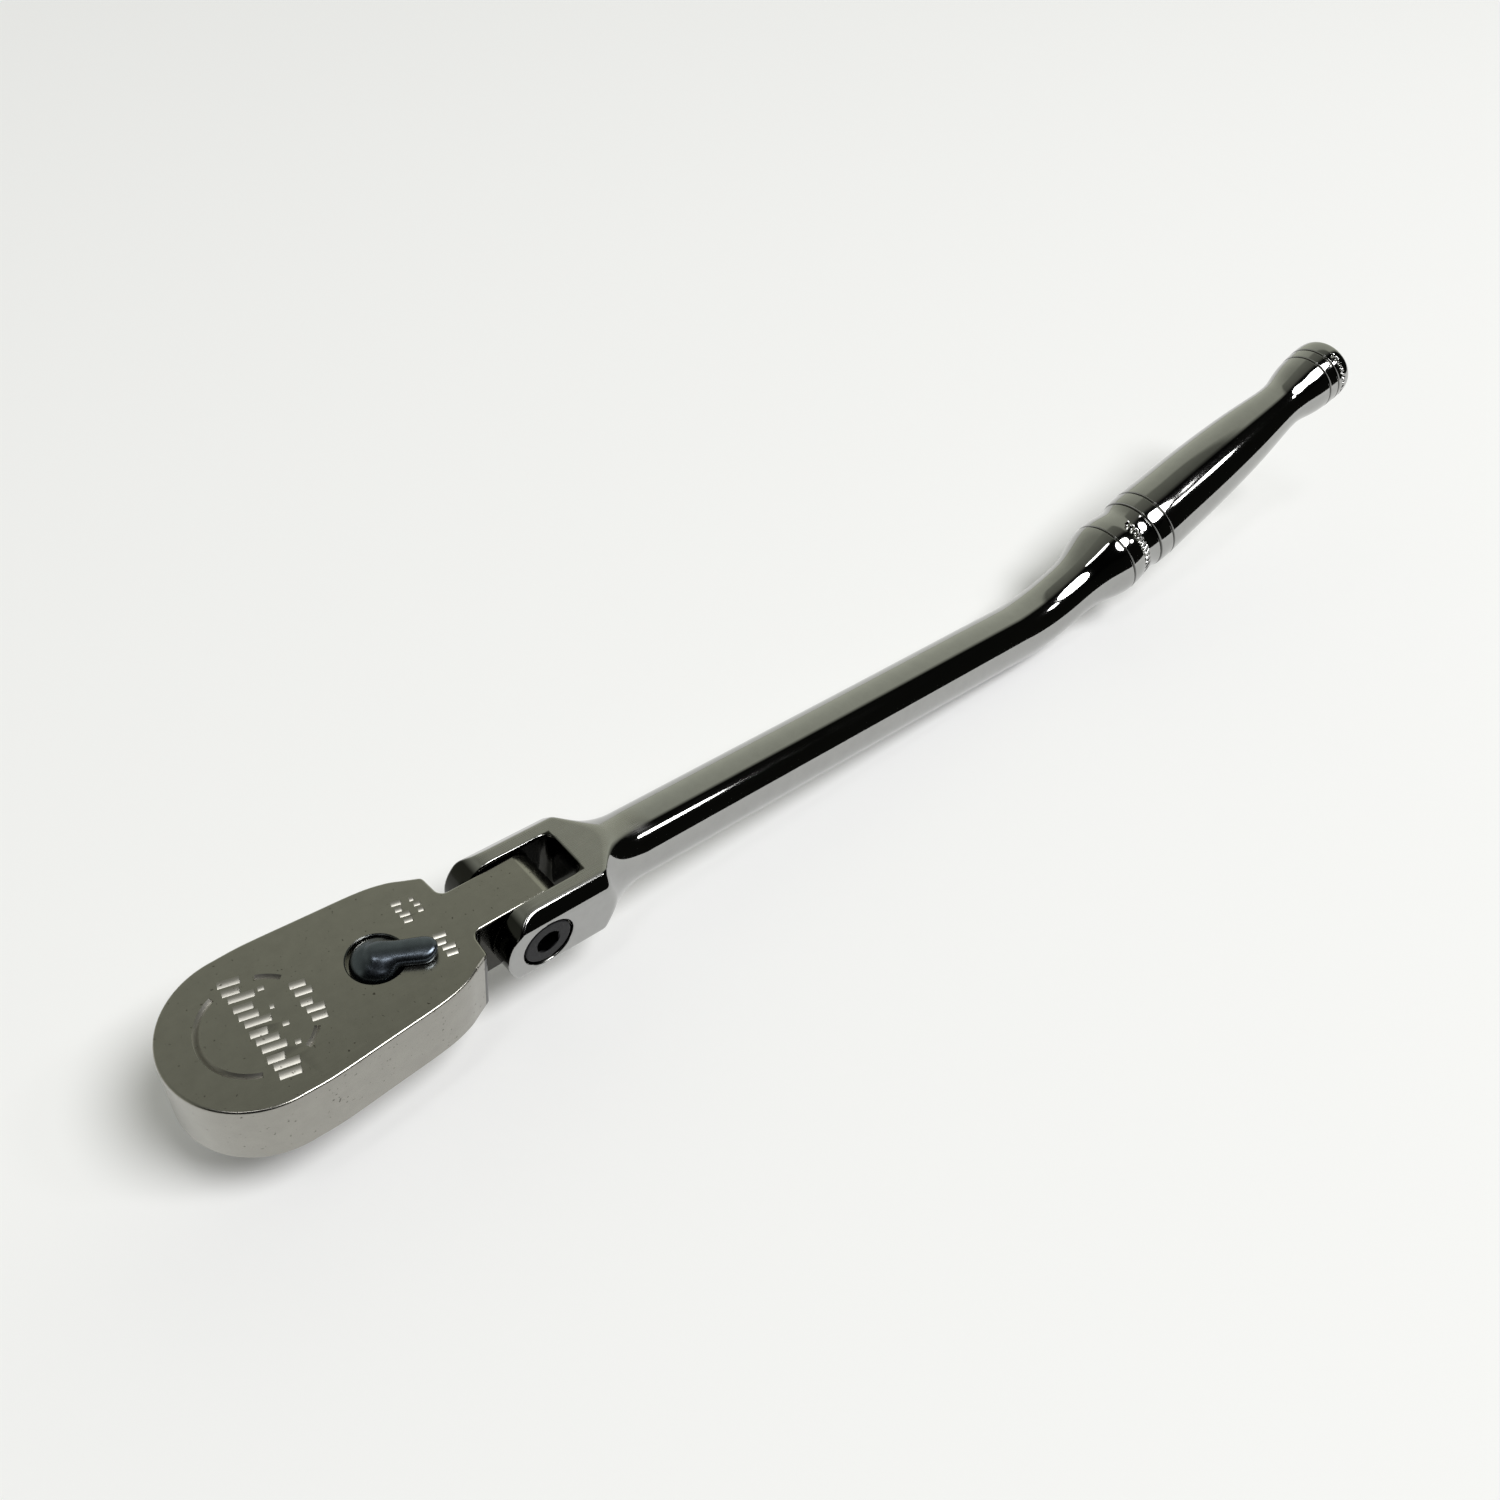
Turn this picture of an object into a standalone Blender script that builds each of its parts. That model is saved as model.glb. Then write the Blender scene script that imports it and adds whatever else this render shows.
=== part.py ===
"""Flex-head ratchet wrench, 3/8 in drive, with every sub-part as its own object. Metres, +Z up.

The origin is the centre of the drive square's end face. The head is level, with the lever on its top, and the
handle runs towards +X from the pivot. Each moving sub-part hangs from an empty on the axis that it turns about.
"""

import math

import bmesh
import bpy
from mathutils import Matrix

# Driving dimensions
SQUARE = 0.00953  # the drive square, across its flats
HEAD_BOTTOM = 0.0115  # the drive square sticks out this far below the head
HEAD_THICK = 0.0125
HEAD_RADIUS = 0.0135
PIVOT_X = 0.0428  # from the drive axis to the flex pivot
SHAFT_RADIUS = 0.0061
BEND_X = 0.1356  # from the pivot to the corner of the bend
BEND_ANGLE = math.radians(21.3)
GRIP_LENGTH = 0.1044  # from the bend's corner to the end of the handle
HANDLE_DROOP = math.radians(1.9)  # how far the handle leans down from the head's plane at rest

HEAD_TOP = HEAD_BOTTOM + HEAD_THICK
HEAD_MID = HEAD_BOTTOM + HEAD_THICK / 2
GAP = 0.0003  # between pieces that touch on the real tool

# Gear and drive
TEETH = 72
GEAR_TIP = 0.0096
GEAR_ROOT = 0.00905
GEAR_LOW = 0.0149
GEAR_HIGH = 0.0197
UPPER_JOURNAL = 0.0060
UPPER_JOURNAL_TOP = 0.0221
LOWER_JOURNAL = 0.0072
COLLAR_RADIUS = 0.0065
COLLAR_LOW = HEAD_BOTTOM - 0.0005
SEAL_Z = 0.0136
SEAL_GROOVE_HALF = 0.0009
SEAL_GROOVE_FLOOR = 0.00565
BALL_RADIUS = 0.0016
BALL_PROUD = 0.00065
DETENT_Z = 0.0050
DETENT_BORE = 0.0019

# Head bore, cover and its ring
BORE_RADIUS = 0.0102
BORE_LOW = 0.0144
BORE_HIGH = 0.0207
SEAT_RADIUS = 0.0106
GROOVE_RADIUS = 0.0111
GROOVE_LOW = 0.0120
GROOVE_HIGH = 0.0129
COVER_RIM = SEAT_RADIUS - GAP
COVER_BOSS = 0.0085
COVER_BORE = LOWER_JOURNAL + GAP

# Lever
LEVER_X = 0.0184
LEVER_TURN = math.radians(28.6)  # each way from the head's centre line
LEVER_RECESS = 0.00435
LEVER_RECESS_FLOOR = 0.0224
HUB_RADIUS = 0.00405
STEM_RADIUS = 0.0026
STEM_BORE = STEM_RADIUS + GAP
STEM_LOW = 0.0152
STEM_CAVITY = 0.0039
FINGER_REACH = 0.0089
FINGER_HALF_WIDTH = 0.0023
PLUNGER_Z = 0.0171
PLUNGER_RADIUS = 0.00105
PLUNGER_TIP = 0.0039  # from the lever's axis

# Pawl
PAWL_X = 0.0122
PAWL_ROCK = math.radians(4.5)  # each way from the middle
PAWL_LOW = 0.0151
PAWL_HIGH = 0.0196
PAWL_PIN_RADIUS = 0.00095
PAWL_BACK_RADIUS = 0.00405  # hollow of its back, about the lever's axis
POCKET_LOW = 0.0147
POCKET_HIGH = 0.0200
POCKET_FRONT = 0.0050
POCKET_BACK = 0.0159
POCKET_HALF_WIDTH = 0.0092

# Tang, yoke and pivot
TANG_HALF_WIDTH = 0.0045
TANG_END = 0.00663
SLOT_HALF_WIDTH = 0.00474
SLOT_END = 0.0096  # from the pivot
YOKE_HALF_WIDTH = 0.00918
YOKE_HALF_HEIGHT = 0.00719
YOKE_CHAMFER = 0.00203
YOKE_TIP = 0.0075
YOKE_BLANK = 0.0110
NECK_FILLET = 0.0154
NECK_END = 0.0225  # from the pivot to where the neck has come down to the shaft
BEND_RADIUS = 0.050
PIVOT_HOLE = 0.00305
PIVOT_SHANK = 0.00275
COUNTERBORE = 0.0047
COUNTERBORE_FLOOR = 0.00688
SCREW_HEAD = 0.00435
SCREW_TOP = 0.00895
SCREW_TIP = 0.0087
HEX_SOCKET = 0.0040
WASHER_RECESS = 0.0046
WASHER_RECESS_FLOOR = 0.0037

# The grip's radius at distances from the bend's corner: a bulb with three ring grooves, a long taper to a waist,
# and a flared end with two more grooves.
GRIP = (
    (0.0130, 0.00628),
    (0.0155, 0.00660),
    (0.0175, 0.00705),
    (0.0200, 0.00785),
    (0.0220, 0.00838),
    (0.0238, 0.00868),
    (0.0242, 0.00842),
    (0.0246, 0.00872),
    (0.0262, 0.00870),
    (0.0290, 0.00832),
    (0.0312, 0.00803),
    (0.0325, 0.00825),
    (0.0331, 0.00848),
    (0.0334, 0.00826),
    (0.0337, 0.00858),
    (0.0354, 0.00874),
    (0.0370, 0.00877),
    (0.0374, 0.00850),
    (0.0378, 0.00874),
    (0.0450, 0.00854),
    (0.0530, 0.00832),
    (0.0600, 0.00801),
    (0.0670, 0.00757),
    (0.0730, 0.00708),
    (0.0780, 0.00655),
    (0.0820, 0.00608),
    (0.0850, 0.00578),
    (0.0872, 0.00567),
    (0.0890, 0.00582),
    (0.0915, 0.00635),
    (0.0940, 0.00688),
    (0.0963, 0.00714),
    (0.0967, 0.00690),
    (0.0971, 0.00720),
    (0.0992, 0.00732),
    (0.0996, 0.00708),
    (0.1000, 0.00736),
    (0.1024, 0.00738),
    (0.1038, 0.00710),
    (GRIP_LENGTH, 0.00650),
)

ROUND_STEPS = 36
SMALL_STEPS = 24
MERGE = 0.00001

STEEL = (0.55, 0.55, 0.53)
PARTS = "ratchet_wrench"
CUTTERS = "ratchet_wrench_cutters"


def clear_scene():
    """Remove every object of the scene that Blender starts with."""
    for item in list(bpy.data.objects):
        bpy.data.objects.remove(item, do_unlink=True)


def add_collection(name):
    """Make a collection in the scene."""
    collection = bpy.data.collections.new(name)
    bpy.context.scene.collection.children.link(collection)
    return collection


def metal(name, colour, roughness, metallic=1.0):
    """Make a plain Principled material."""
    finish = bpy.data.materials.new(name)
    finish.use_nodes = True
    shader = finish.node_tree.nodes["Principled BSDF"]
    shader.inputs["Base Color"].default_value = (*colour, 1.0)
    shader.inputs["Roughness"].default_value = roughness
    shader.inputs["Metallic"].default_value = metallic
    finish.diffuse_color = (*colour, 1.0)
    return finish


def add_object(name, data, parent, place=(0, 0, 0), turn=(0, 0, 0), finish=None):
    """Link a mesh or curve as a part, or as a hidden cutter where it has no finish."""
    item = bpy.data.objects.new(name, data)
    bpy.data.collections[PARTS if finish else CUTTERS].objects.link(item)
    item.parent = parent
    item.location = place
    item.rotation_euler = turn
    if finish:
        data.materials.append(finish)
    else:
        item.hide_render = True
        item.display_type = "WIRE"
    return item


def add_empty(name, parent, place, turn=(0, 0, 0)):
    """Make an empty that marks a joint's axis."""
    item = bpy.data.objects.new(name, None)
    bpy.data.collections[PARTS].objects.link(item)
    item.empty_display_size = 0.01
    item.parent = parent
    item.location = place
    item.rotation_euler = turn
    return item


def arc(centre, radius, start, end, steps):
    """Points of an arc, from one angle to another in degrees."""
    points = []
    for step in range(steps + 1):
        angle = math.radians(start + (end - start) * step / steps)
        points.append((centre[0] + radius * math.cos(angle), centre[1] + radius * math.sin(angle)))
    return points


def plate(name, outlines, low, high, edge=0.0):
    """A flat outline, or an outline with holes, extruded along Z, with its edges chamfered by edge."""
    curve = bpy.data.curves.new(name, "CURVE")
    curve.dimensions = "2D"
    curve.fill_mode = "BOTH"
    curve.extrude = (high - low) / 2 - edge
    curve.bevel_depth = edge
    curve.bevel_resolution = 0
    curve.offset = -edge
    for outline in outlines:
        spline = curve.splines.new("POLY")
        spline.points.add(len(outline) - 1)
        for point, (x, y) in zip(spline.points, outline):
            point.co = (x, y, 0, 1)
        spline.use_cyclic_u = True
    mesh = solid_from_curve(name, curve)
    mesh.transform(Matrix.Translation((0, 0, (low + high) / 2)))
    return mesh


def solid_from_curve(name, curve):
    """Turn a curve into a closed mesh."""
    guide = bpy.data.objects.new(name + "_guide", curve)
    bpy.context.scene.collection.objects.link(guide)
    bpy.context.view_layer.update()
    evaluated = guide.evaluated_get(bpy.context.evaluated_depsgraph_get())
    mesh = bpy.data.meshes.new_from_object(evaluated)
    mesh.name = name
    bpy.data.objects.remove(guide, do_unlink=True)
    work = bmesh.new()
    work.from_mesh(mesh)
    bmesh.ops.remove_doubles(work, verts=work.verts, dist=1e-7)
    bmesh.ops.recalc_face_normals(work, faces=work.faces)
    work.to_mesh(mesh)
    work.free()
    return mesh


def cylinder(name, radius, low, high, steps=ROUND_STEPS):
    """A closed cylinder along Z."""
    mesh = bpy.data.meshes.new(name)
    work = bmesh.new()
    bmesh.ops.create_cone(
        work, cap_ends=True, segments=steps, radius1=radius, radius2=radius, depth=high - low
    )
    bmesh.ops.translate(work, verts=work.verts, vec=(0, 0, (low + high) / 2))
    work.to_mesh(mesh)
    work.free()
    return mesh


def profile_mesh(name, profile, closed):
    """The edges of a profile at +X, ready for a Screw modifier."""
    points = [(radius, 0, height) for radius, height in profile]
    edges = [(index, index + 1) for index in range(len(points) - 1)]
    if closed:
        edges.append((len(points) - 1, 0))
    mesh = bpy.data.meshes.new(name)
    mesh.from_pydata(points, edges, [])
    return mesh


def turn_round(item, steps=ROUND_STEPS):
    """Spin an object's profile about its Z axis."""
    screw = item.modifiers.new("turned", "SCREW")
    screw.angle = math.tau
    screw.axis = "Z"
    screw.steps = steps
    screw.render_steps = steps
    screw.use_merge_vertices = True
    screw.merge_threshold = MERGE
    screw.use_smooth_shade = True
    return item


def cut(item, cutter, operation="DIFFERENCE"):
    """Cut an object by another, or join the other to it."""
    boolean = item.modifiers.new(cutter.name, "BOOLEAN")
    boolean.operation = operation
    boolean.solver = "EXACT"
    boolean.object = cutter
    return item


def join(item, other):
    """Join a hidden shape to an object."""
    return cut(item, other, "UNION")


def shade(mesh, angle=30):
    """Shade a mesh smooth between sharp edges."""
    mesh.shade_smooth()
    mesh.set_sharp_from_angle(angle=math.radians(angle))
    return mesh


def ring_profile(centre_radius, centre_height, section, steps=8):
    """The round section of an O-ring, running down its outer side first."""
    return arc((centre_radius, centre_height), section, 90, -270 + 360 / steps, steps - 1)


def washer_profile(inner, outer, low, high):
    """The section of a flat ring, running down its outer side."""
    return ((inner, high), (outer, high), (outer, low), (inner, low))


def coil(name, radius, wire, length, turns, finish, parent, place, turn):
    """A compression spring that runs along its own Z from its place."""
    steps_per_turn = 12
    curve = bpy.data.curves.new(name, "CURVE")
    curve.dimensions = "3D"
    curve.bevel_depth = wire / 2
    curve.bevel_resolution = 1
    curve.use_fill_caps = True
    spline = curve.splines.new("POLY")
    count = int(turns * steps_per_turn)
    spline.points.add(count)
    for index, point in enumerate(spline.points):
        angle = math.tau * index / steps_per_turn
        height = wire / 2 + (length - wire) * index / count
        point.co = (radius * math.cos(angle), radius * math.sin(angle), height, 1)
    return add_object(name, curve, parent, place, turn, finish)


def split_ring(name, inner, outer, low, high, gap_degrees, lug, lug_degrees):
    """An open retaining ring whose ends widen inwards into lugs, with its gap towards +X."""
    outline = arc((0, 0), outer, gap_degrees, 360 - gap_degrees, 30)
    outline += arc((0, 0), lug, 360 - gap_degrees, 360 - gap_degrees - lug_degrees, 3)
    outline += arc((0, 0), inner, 360 - gap_degrees - lug_degrees, gap_degrees + lug_degrees, 26)
    outline += arc((0, 0), lug, gap_degrees + lug_degrees, gap_degrees, 3)
    return shade(plate(name, [outline], low, high))


# Head


def head_outline():
    """Half the head's plan from the nose to the tang, mirrored: a round nose, flanks that draw in, and shoulders."""
    flank = [
        (0.0034, 0.01365),
        (0.0068, 0.01349),
        (0.0108, 0.01322),
        (0.0150, 0.01294),
        (0.0189, 0.01269),
        (0.0216, 0.01247),
        (0.0243, 0.01207),
        (0.0270, 0.01131),
        (0.0290, 0.01035),
    ]
    shoulder = arc((0.0306, 0.0084), 0.0011, 48, 4, 3)
    notch = arc((0.0334, 0.0060), 0.0015, 180, 270, 4)
    end = (PIVOT_X + 0.010, TANG_HALF_WIDTH)
    half = [*flank, *shoulder, *notch, end]
    nose = arc((0, 0), HEAD_RADIUS, 90, 270, 30)
    far = list(reversed(half))
    near = [(x, -y) for x, y in half]
    return far + nose + near


def head_bore_profile():
    """The gear bore with its cover seat and ring groove, open at the head's underside."""
    below = HEAD_BOTTOM - 0.001
    return (
        (0, UPPER_JOURNAL_TOP + GAP),
        (UPPER_JOURNAL + GAP, UPPER_JOURNAL_TOP + GAP),
        (UPPER_JOURNAL + GAP, BORE_HIGH),
        (BORE_RADIUS, BORE_HIGH),
        (BORE_RADIUS, BORE_LOW),
        (SEAT_RADIUS, BORE_LOW),
        (SEAT_RADIUS, GROOVE_HIGH),
        (GROOVE_RADIUS, GROOVE_HIGH),
        (GROOVE_RADIUS, GROOVE_LOW),
        (SEAT_RADIUS, GROOVE_LOW),
        (SEAT_RADIUS, below),
        (0, below),
    )


def lever_bore_profile():
    """The lever's recess, its bore and the cavity round its lower stem."""
    above = HEAD_TOP + 0.001
    cavity_top = POCKET_HIGH + 0.00015
    cavity_low = POCKET_LOW - 0.0002
    return (
        (0, above),
        (LEVER_RECESS, above),
        (LEVER_RECESS, LEVER_RECESS_FLOOR),
        (STEM_BORE, LEVER_RECESS_FLOOR),
        (STEM_BORE, cavity_top),
        (STEM_CAVITY, cavity_top),
        (STEM_CAVITY, cavity_low),
        (0, cavity_low),
    )


def pocket_outline():
    """The pawl pocket in plan, with rounded back corners."""
    corner = 0.0025
    back = POCKET_BACK - corner
    side = POCKET_HALF_WIDTH - corner
    outline = [(POCKET_FRONT, -POCKET_HALF_WIDTH)]
    outline += arc((back, -side), corner, -90, 0, 5)
    outline += arc((back, side), corner, 0, 90, 5)
    outline.append((POCKET_FRONT, POCKET_HALF_WIDTH))
    return outline


def tang_end_outline():
    """What is cut away beyond the tang's round end, seen from the side and measured from the pivot."""
    outer = 0.012
    round_end = arc((0, 0), TANG_END, -90, 90, 18)
    return [*round_end, (0, outer), (outer, outer), (outer, -outer), (0, -outer)]


def build_head(pivot, origin, finish):
    """The forged head with its tang."""
    mesh = shade(plate("head_body", [head_outline()], HEAD_BOTTOM, HEAD_TOP, edge=0.0004))
    head = add_object("head_body", mesh, origin, finish=finish)
    side_on = (math.radians(90), 0, 0)
    tang_end = plate("tang_end_cutter", [tang_end_outline()], -0.008, 0.008)
    cut(head, add_object("tang_end_cutter", tang_end, pivot, turn=side_on))
    bore = profile_mesh("head_bore_cutter", head_bore_profile(), closed=False)
    cut(head, turn_round(add_object("head_bore_cutter", bore, origin)))
    pocket = plate("pawl_pocket_cutter", [pocket_outline()], POCKET_LOW, POCKET_HIGH)
    cut(head, add_object("pawl_pocket_cutter", pocket, origin))
    lever_bore = profile_mesh("lever_bore_cutter", lever_bore_profile(), closed=False)
    cut(head, turn_round(add_object("lever_bore_cutter", lever_bore, origin, (LEVER_X, 0, 0)), 40))
    pin_bore = cylinder("pin_bore_cutter", PAWL_PIN_RADIUS + GAP, 0.0135, 0.0215, SMALL_STEPS)
    cut(head, add_object("pin_bore_cutter", pin_bore, origin, (PAWL_X, 0, 0)))
    hole = cylinder("tang_hole_cutter", PIVOT_HOLE, -0.006, 0.006)
    cut(head, add_object("tang_hole_cutter", hole, pivot, turn=side_on))
    for side, name in ((1, "near_recess_cutter"), (-1, "far_recess_cutter")):
        recess = cylinder(name, WASHER_RECESS, WASHER_RECESS_FLOOR, 0.006)
        tilt = math.radians(90 * side)
        cut(head, add_object(name, recess, pivot, turn=(tilt, 0, 0)))
    return head


def build_cover(origin, cover_finish, ring_finish, rubber):
    """The cover, its retaining ring and the seal in it."""
    profile = (
        (COVER_BORE, BORE_LOW - GAP),
        (COVER_RIM, BORE_LOW - GAP),
        (COVER_RIM, GROOVE_HIGH + 0.0002),
        (COVER_BOSS, GROOVE_HIGH + 0.0002),
        (COVER_BOSS, HEAD_BOTTOM + GAP),
        (COVER_BORE, HEAD_BOTTOM + GAP),
    )
    cover = profile_mesh("gear_cover", profile, closed=True)
    turn_round(add_object("gear_cover", cover, origin, finish=cover_finish))
    ring = split_ring(
        "cover_snap_ring",
        inner=0.0097,
        outer=GROOVE_RADIUS - GAP,
        low=0.01215,
        high=0.01275,
        gap_degrees=10,
        lug=COVER_BOSS + GAP,
        lug_degrees=14,
    )
    snap_ring = add_object("cover_snap_ring", ring, origin, finish=ring_finish)
    for side in (-1, 1):
        name = "ring_hole_cutter_" + ("near" if side < 0 else "far")
        angle = math.radians(17) * side
        spot = (0.0098 * math.cos(angle), 0.0098 * math.sin(angle), 0)
        hole = cylinder(name, 0.00045, 0.0115, 0.0135, 12)
        cut(snap_ring, add_object(name, hole, origin, spot))
    seal_profile = ring_profile(0.00655, SEAL_Z, 0.0006)
    seal = profile_mesh("drive_o_ring", seal_profile, closed=True)
    turn_round(add_object("drive_o_ring", seal, origin, finish=rubber))


# Gear and drive square


def gear_outline(grow=0.0):
    """A ring of even V teeth, with a tooth's tip on the +X axis."""
    outline = []
    for index in range(TEETH * 2):
        radius = (GEAR_ROOT if index % 2 else GEAR_TIP) + grow
        angle = math.pi * index / TEETH
        outline.append((radius * math.cos(angle), radius * math.sin(angle)))
    return outline


def build_drive(axis, finish):
    """The ratchet gear, its two journals and the drive square, as one piece."""
    mesh = shade(plate("drive_gear", [gear_outline()], GEAR_LOW, GEAR_HIGH))
    gear = add_object("drive_gear", mesh, axis, finish=finish)
    groove_low = SEAL_Z - SEAL_GROOVE_HALF
    groove_high = SEAL_Z + SEAL_GROOVE_HALF
    profile = (
        (0, UPPER_JOURNAL_TOP),
        (UPPER_JOURNAL, UPPER_JOURNAL_TOP),
        (UPPER_JOURNAL, GEAR_LOW + 0.001),
        (LOWER_JOURNAL, GEAR_LOW + 0.001),
        (LOWER_JOURNAL, groove_high),
        (SEAL_GROOVE_FLOOR, groove_high),
        (SEAL_GROOVE_FLOOR, groove_low),
        (LOWER_JOURNAL, groove_low),
        (LOWER_JOURNAL, HEAD_BOTTOM),
        (COLLAR_RADIUS, HEAD_BOTTOM),
        (COLLAR_RADIUS, COLLAR_LOW),
        (0, COLLAR_LOW),
    )
    journals = profile_mesh("journals_union", profile, closed=False)
    join(gear, turn_round(add_object("journals_union", journals, axis)))
    square = bpy.data.meshes.new("square_union")
    work = bmesh.new()
    bmesh.ops.create_cube(work, size=1)
    height = HEAD_BOTTOM + 0.0005
    bmesh.ops.scale(work, verts=work.verts, vec=(SQUARE, SQUARE, height))
    bmesh.ops.translate(work, verts=work.verts, vec=(0, 0, height / 2))
    work.to_mesh(square)
    work.free()
    block = add_object("square_union", square, axis)
    bevel = block.modifiers.new("corners", "BEVEL")
    bevel.width = 0.0007
    bevel.segments = 2
    join(gear, block)
    to_front = (0, math.radians(-90), 0)
    front = (-SQUARE / 2, 0, DETENT_Z)
    lip = cylinder("detent_mouth_cutter", 0.00155, -0.002, 0.001, SMALL_STEPS)
    cut(gear, add_object("detent_mouth_cutter", lip, axis, front, to_front))
    bore = cylinder("detent_bore_cutter", DETENT_BORE, -0.0073, -0.0002, SMALL_STEPS)
    cut(gear, add_object("detent_bore_cutter", bore, axis, front, to_front))
    return gear


def build_detent(axis, slide, steel, spring_steel):
    """The ball in the drive square's front flat, and the spring behind it."""
    ball = bpy.data.meshes.new("detent_ball")
    work = bmesh.new()
    bmesh.ops.create_uvsphere(work, u_segments=16, v_segments=8, radius=BALL_RADIUS)
    work.to_mesh(ball)
    work.free()
    add_object("detent_ball", shade(ball, 60), slide, finish=steel)
    back = -SQUARE / 2 - BALL_PROUD + 2 * BALL_RADIUS + GAP
    room = 0.0073 - SQUARE / 2 - GAP - back
    along_x = (0, math.radians(90), 0)
    place = (back, 0, DETENT_Z)
    coil("detent_spring", 0.0012, 0.0004, room, 4, spring_steel, axis, place, along_x)


# Pawl


def pawl_outline():
    """The pawl in plan about its pin: a hollow back for the plunger, and two arms that reach round the gear."""
    lever = LEVER_X - PAWL_X
    hollow = arc((lever, 0), PAWL_BACK_RADIUS, 180, 140, 6)
    arm = [
        (0.0029, 0.0033),
        (0.0020, 0.0044),
        (0.0002, 0.0063),
        (-0.0022, 0.0079),
        (-0.0044, 0.0083),
        (-0.0056, 0.0077),
        (-0.0064, 0.0063),
        (-0.0047, 0.0029),
        (-0.0023, 0.0027),
    ]
    far = hollow + arm
    near = [(x, -y) for x, y in reversed(far[1:])]
    return far + near


def build_pawl(frame, origin, steel):
    """The pawl, with teeth that each fit the gear at one end of its rock, and its pin."""
    mesh = shade(plate("pawl", [pawl_outline()], PAWL_LOW, PAWL_HIGH))
    pawl = add_object("pawl", mesh, frame, finish=steel)
    below = PAWL_LOW - 0.001
    above = PAWL_HIGH + 0.001
    bore = cylinder("pawl_bore_cutter", PAWL_PIN_RADIUS + GAP, below, above, SMALL_STEPS)
    cut(pawl, add_object("pawl_bore_cutter", bore, frame))
    for side, name in ((1, "far_teeth_cutter"), (-1, "near_teeth_cutter")):
        teeth = plate(name, [gear_outline(grow=0.0002)], below, above)
        angle = -PAWL_ROCK * side
        place = (-PAWL_X * math.cos(angle), -PAWL_X * math.sin(angle), 0)
        cut(pawl, add_object(name, teeth, frame, place, (0, 0, angle)))
    pin = shade(cylinder("pawl_pin", PAWL_PIN_RADIUS, 0.0138, 0.0212, SMALL_STEPS))
    add_object("pawl_pin", pin, origin, (PAWL_X, 0, 0), finish=steel)


# Lever


def lever_profile():
    """The lever's domed hub and its stem, with grooves for the seal and the retaining ring."""
    return (
        (0, 0.0258),
        (0.0014, 0.0257),
        (0.0026, 0.0253),
        (0.0035, 0.0247),
        (HUB_RADIUS, 0.0240),
        (HUB_RADIUS, LEVER_RECESS_FLOOR + GAP),
        (STEM_RADIUS, LEVER_RECESS_FLOOR + GAP),
        (STEM_RADIUS, 0.0219),
        (0.00155, 0.0219),
        (0.00155, 0.0206),
        (STEM_RADIUS, 0.0206),
        (STEM_RADIUS, 0.0199),
        (0.0019, 0.0199),
        (0.0019, 0.0191),
        (STEM_RADIUS, 0.0191),
        (STEM_RADIUS, STEM_LOW),
        (0, STEM_LOW),
    )


def build_lever(frame, slide, finish, steel, spring_steel, rubber):
    """The reversing lever, with its finger along the frame's +X, and what its stem carries."""
    profile = profile_mesh("reversing_lever", lever_profile(), closed=False)
    lever = turn_round(add_object("reversing_lever", profile, frame, finish=finish), 40)
    tip = FINGER_REACH - FINGER_HALF_WIDTH
    outline = arc((tip, 0), FINGER_HALF_WIDTH, -90, 90, 10)
    outline += [(0.001, FINGER_HALF_WIDTH), (0.001, -FINGER_HALF_WIDTH)]
    finger = plate("finger_union", [outline], HEAD_TOP + GAP, 0.0262, edge=0.0005)
    join(lever, add_object("finger_union", finger, frame))
    to_pawl = (0, math.radians(-90), 0)
    bore = cylinder("plunger_bore_cutter", PLUNGER_RADIUS + GAP, -0.0016, 0.0035, SMALL_STEPS)
    cut(lever, add_object("plunger_bore_cutter", bore, frame, (0, 0, PLUNGER_Z), to_pawl))
    nose = arc((0, PLUNGER_TIP - PLUNGER_RADIUS), PLUNGER_RADIUS, 90, 0, 4)
    plunger = profile_mesh("pawl_plunger", [*nose, (PLUNGER_RADIUS, 0.0013), (0, 0.0013)], closed=False)
    turn_round(add_object("pawl_plunger", plunger, slide, turn=to_pawl, finish=steel), SMALL_STEPS)
    along_x = (0, math.radians(90), 0)
    place = (-0.0010, 0, PLUNGER_Z)
    coil("plunger_spring", 0.0008, 0.0003, 0.0022, 3, spring_steel, frame, place, along_x)
    seal = profile_mesh("lever_o_ring", ring_profile(0.0022, 0.02125, 0.00038), closed=True)
    turn_round(add_object("lever_o_ring", seal, frame, finish=rubber), SMALL_STEPS)
    ring = split_ring(
        "lever_snap_ring",
        inner=0.0022,
        outer=0.0034,
        low=0.0193,
        high=0.0197,
        gap_degrees=35,
        lug=0.0022,
        lug_degrees=10,
    )
    add_object("lever_snap_ring", ring, frame, finish=spring_steel)


# Handle


def handle_stations():
    """(distance along X, height, radius) of the handle's sections, from the yoke's tips to the grip's end."""
    stations = [(-0.0082, 0, YOKE_BLANK), (0.0105, 0, YOKE_BLANK)]
    fillet_height = SHAFT_RADIUS - 0.00005 + NECK_FILLET
    for step in range(9):
        back = 0.0112 * (8 - step) / 8
        radius = fillet_height - math.sqrt(NECK_FILLET**2 - back**2)
        stations.append((NECK_END - back, 0, radius))
    tangent = BEND_RADIUS * math.tan(BEND_ANGLE / 2)
    stations.append((BEND_X * 0.6, 0, SHAFT_RADIUS))
    bend_steps = 6
    for step in range(bend_steps + 1):
        angle = BEND_ANGLE * step / bend_steps
        along = BEND_X - tangent + BEND_RADIUS * math.sin(angle)
        height = BEND_RADIUS * (1 - math.cos(angle))
        stations.append((along, height, 0.0062))
    for distance, radius in GRIP:
        along = BEND_X + distance * math.cos(BEND_ANGLE)
        stations.append((along, distance * math.sin(BEND_ANGLE), radius))
    return stations


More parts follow.
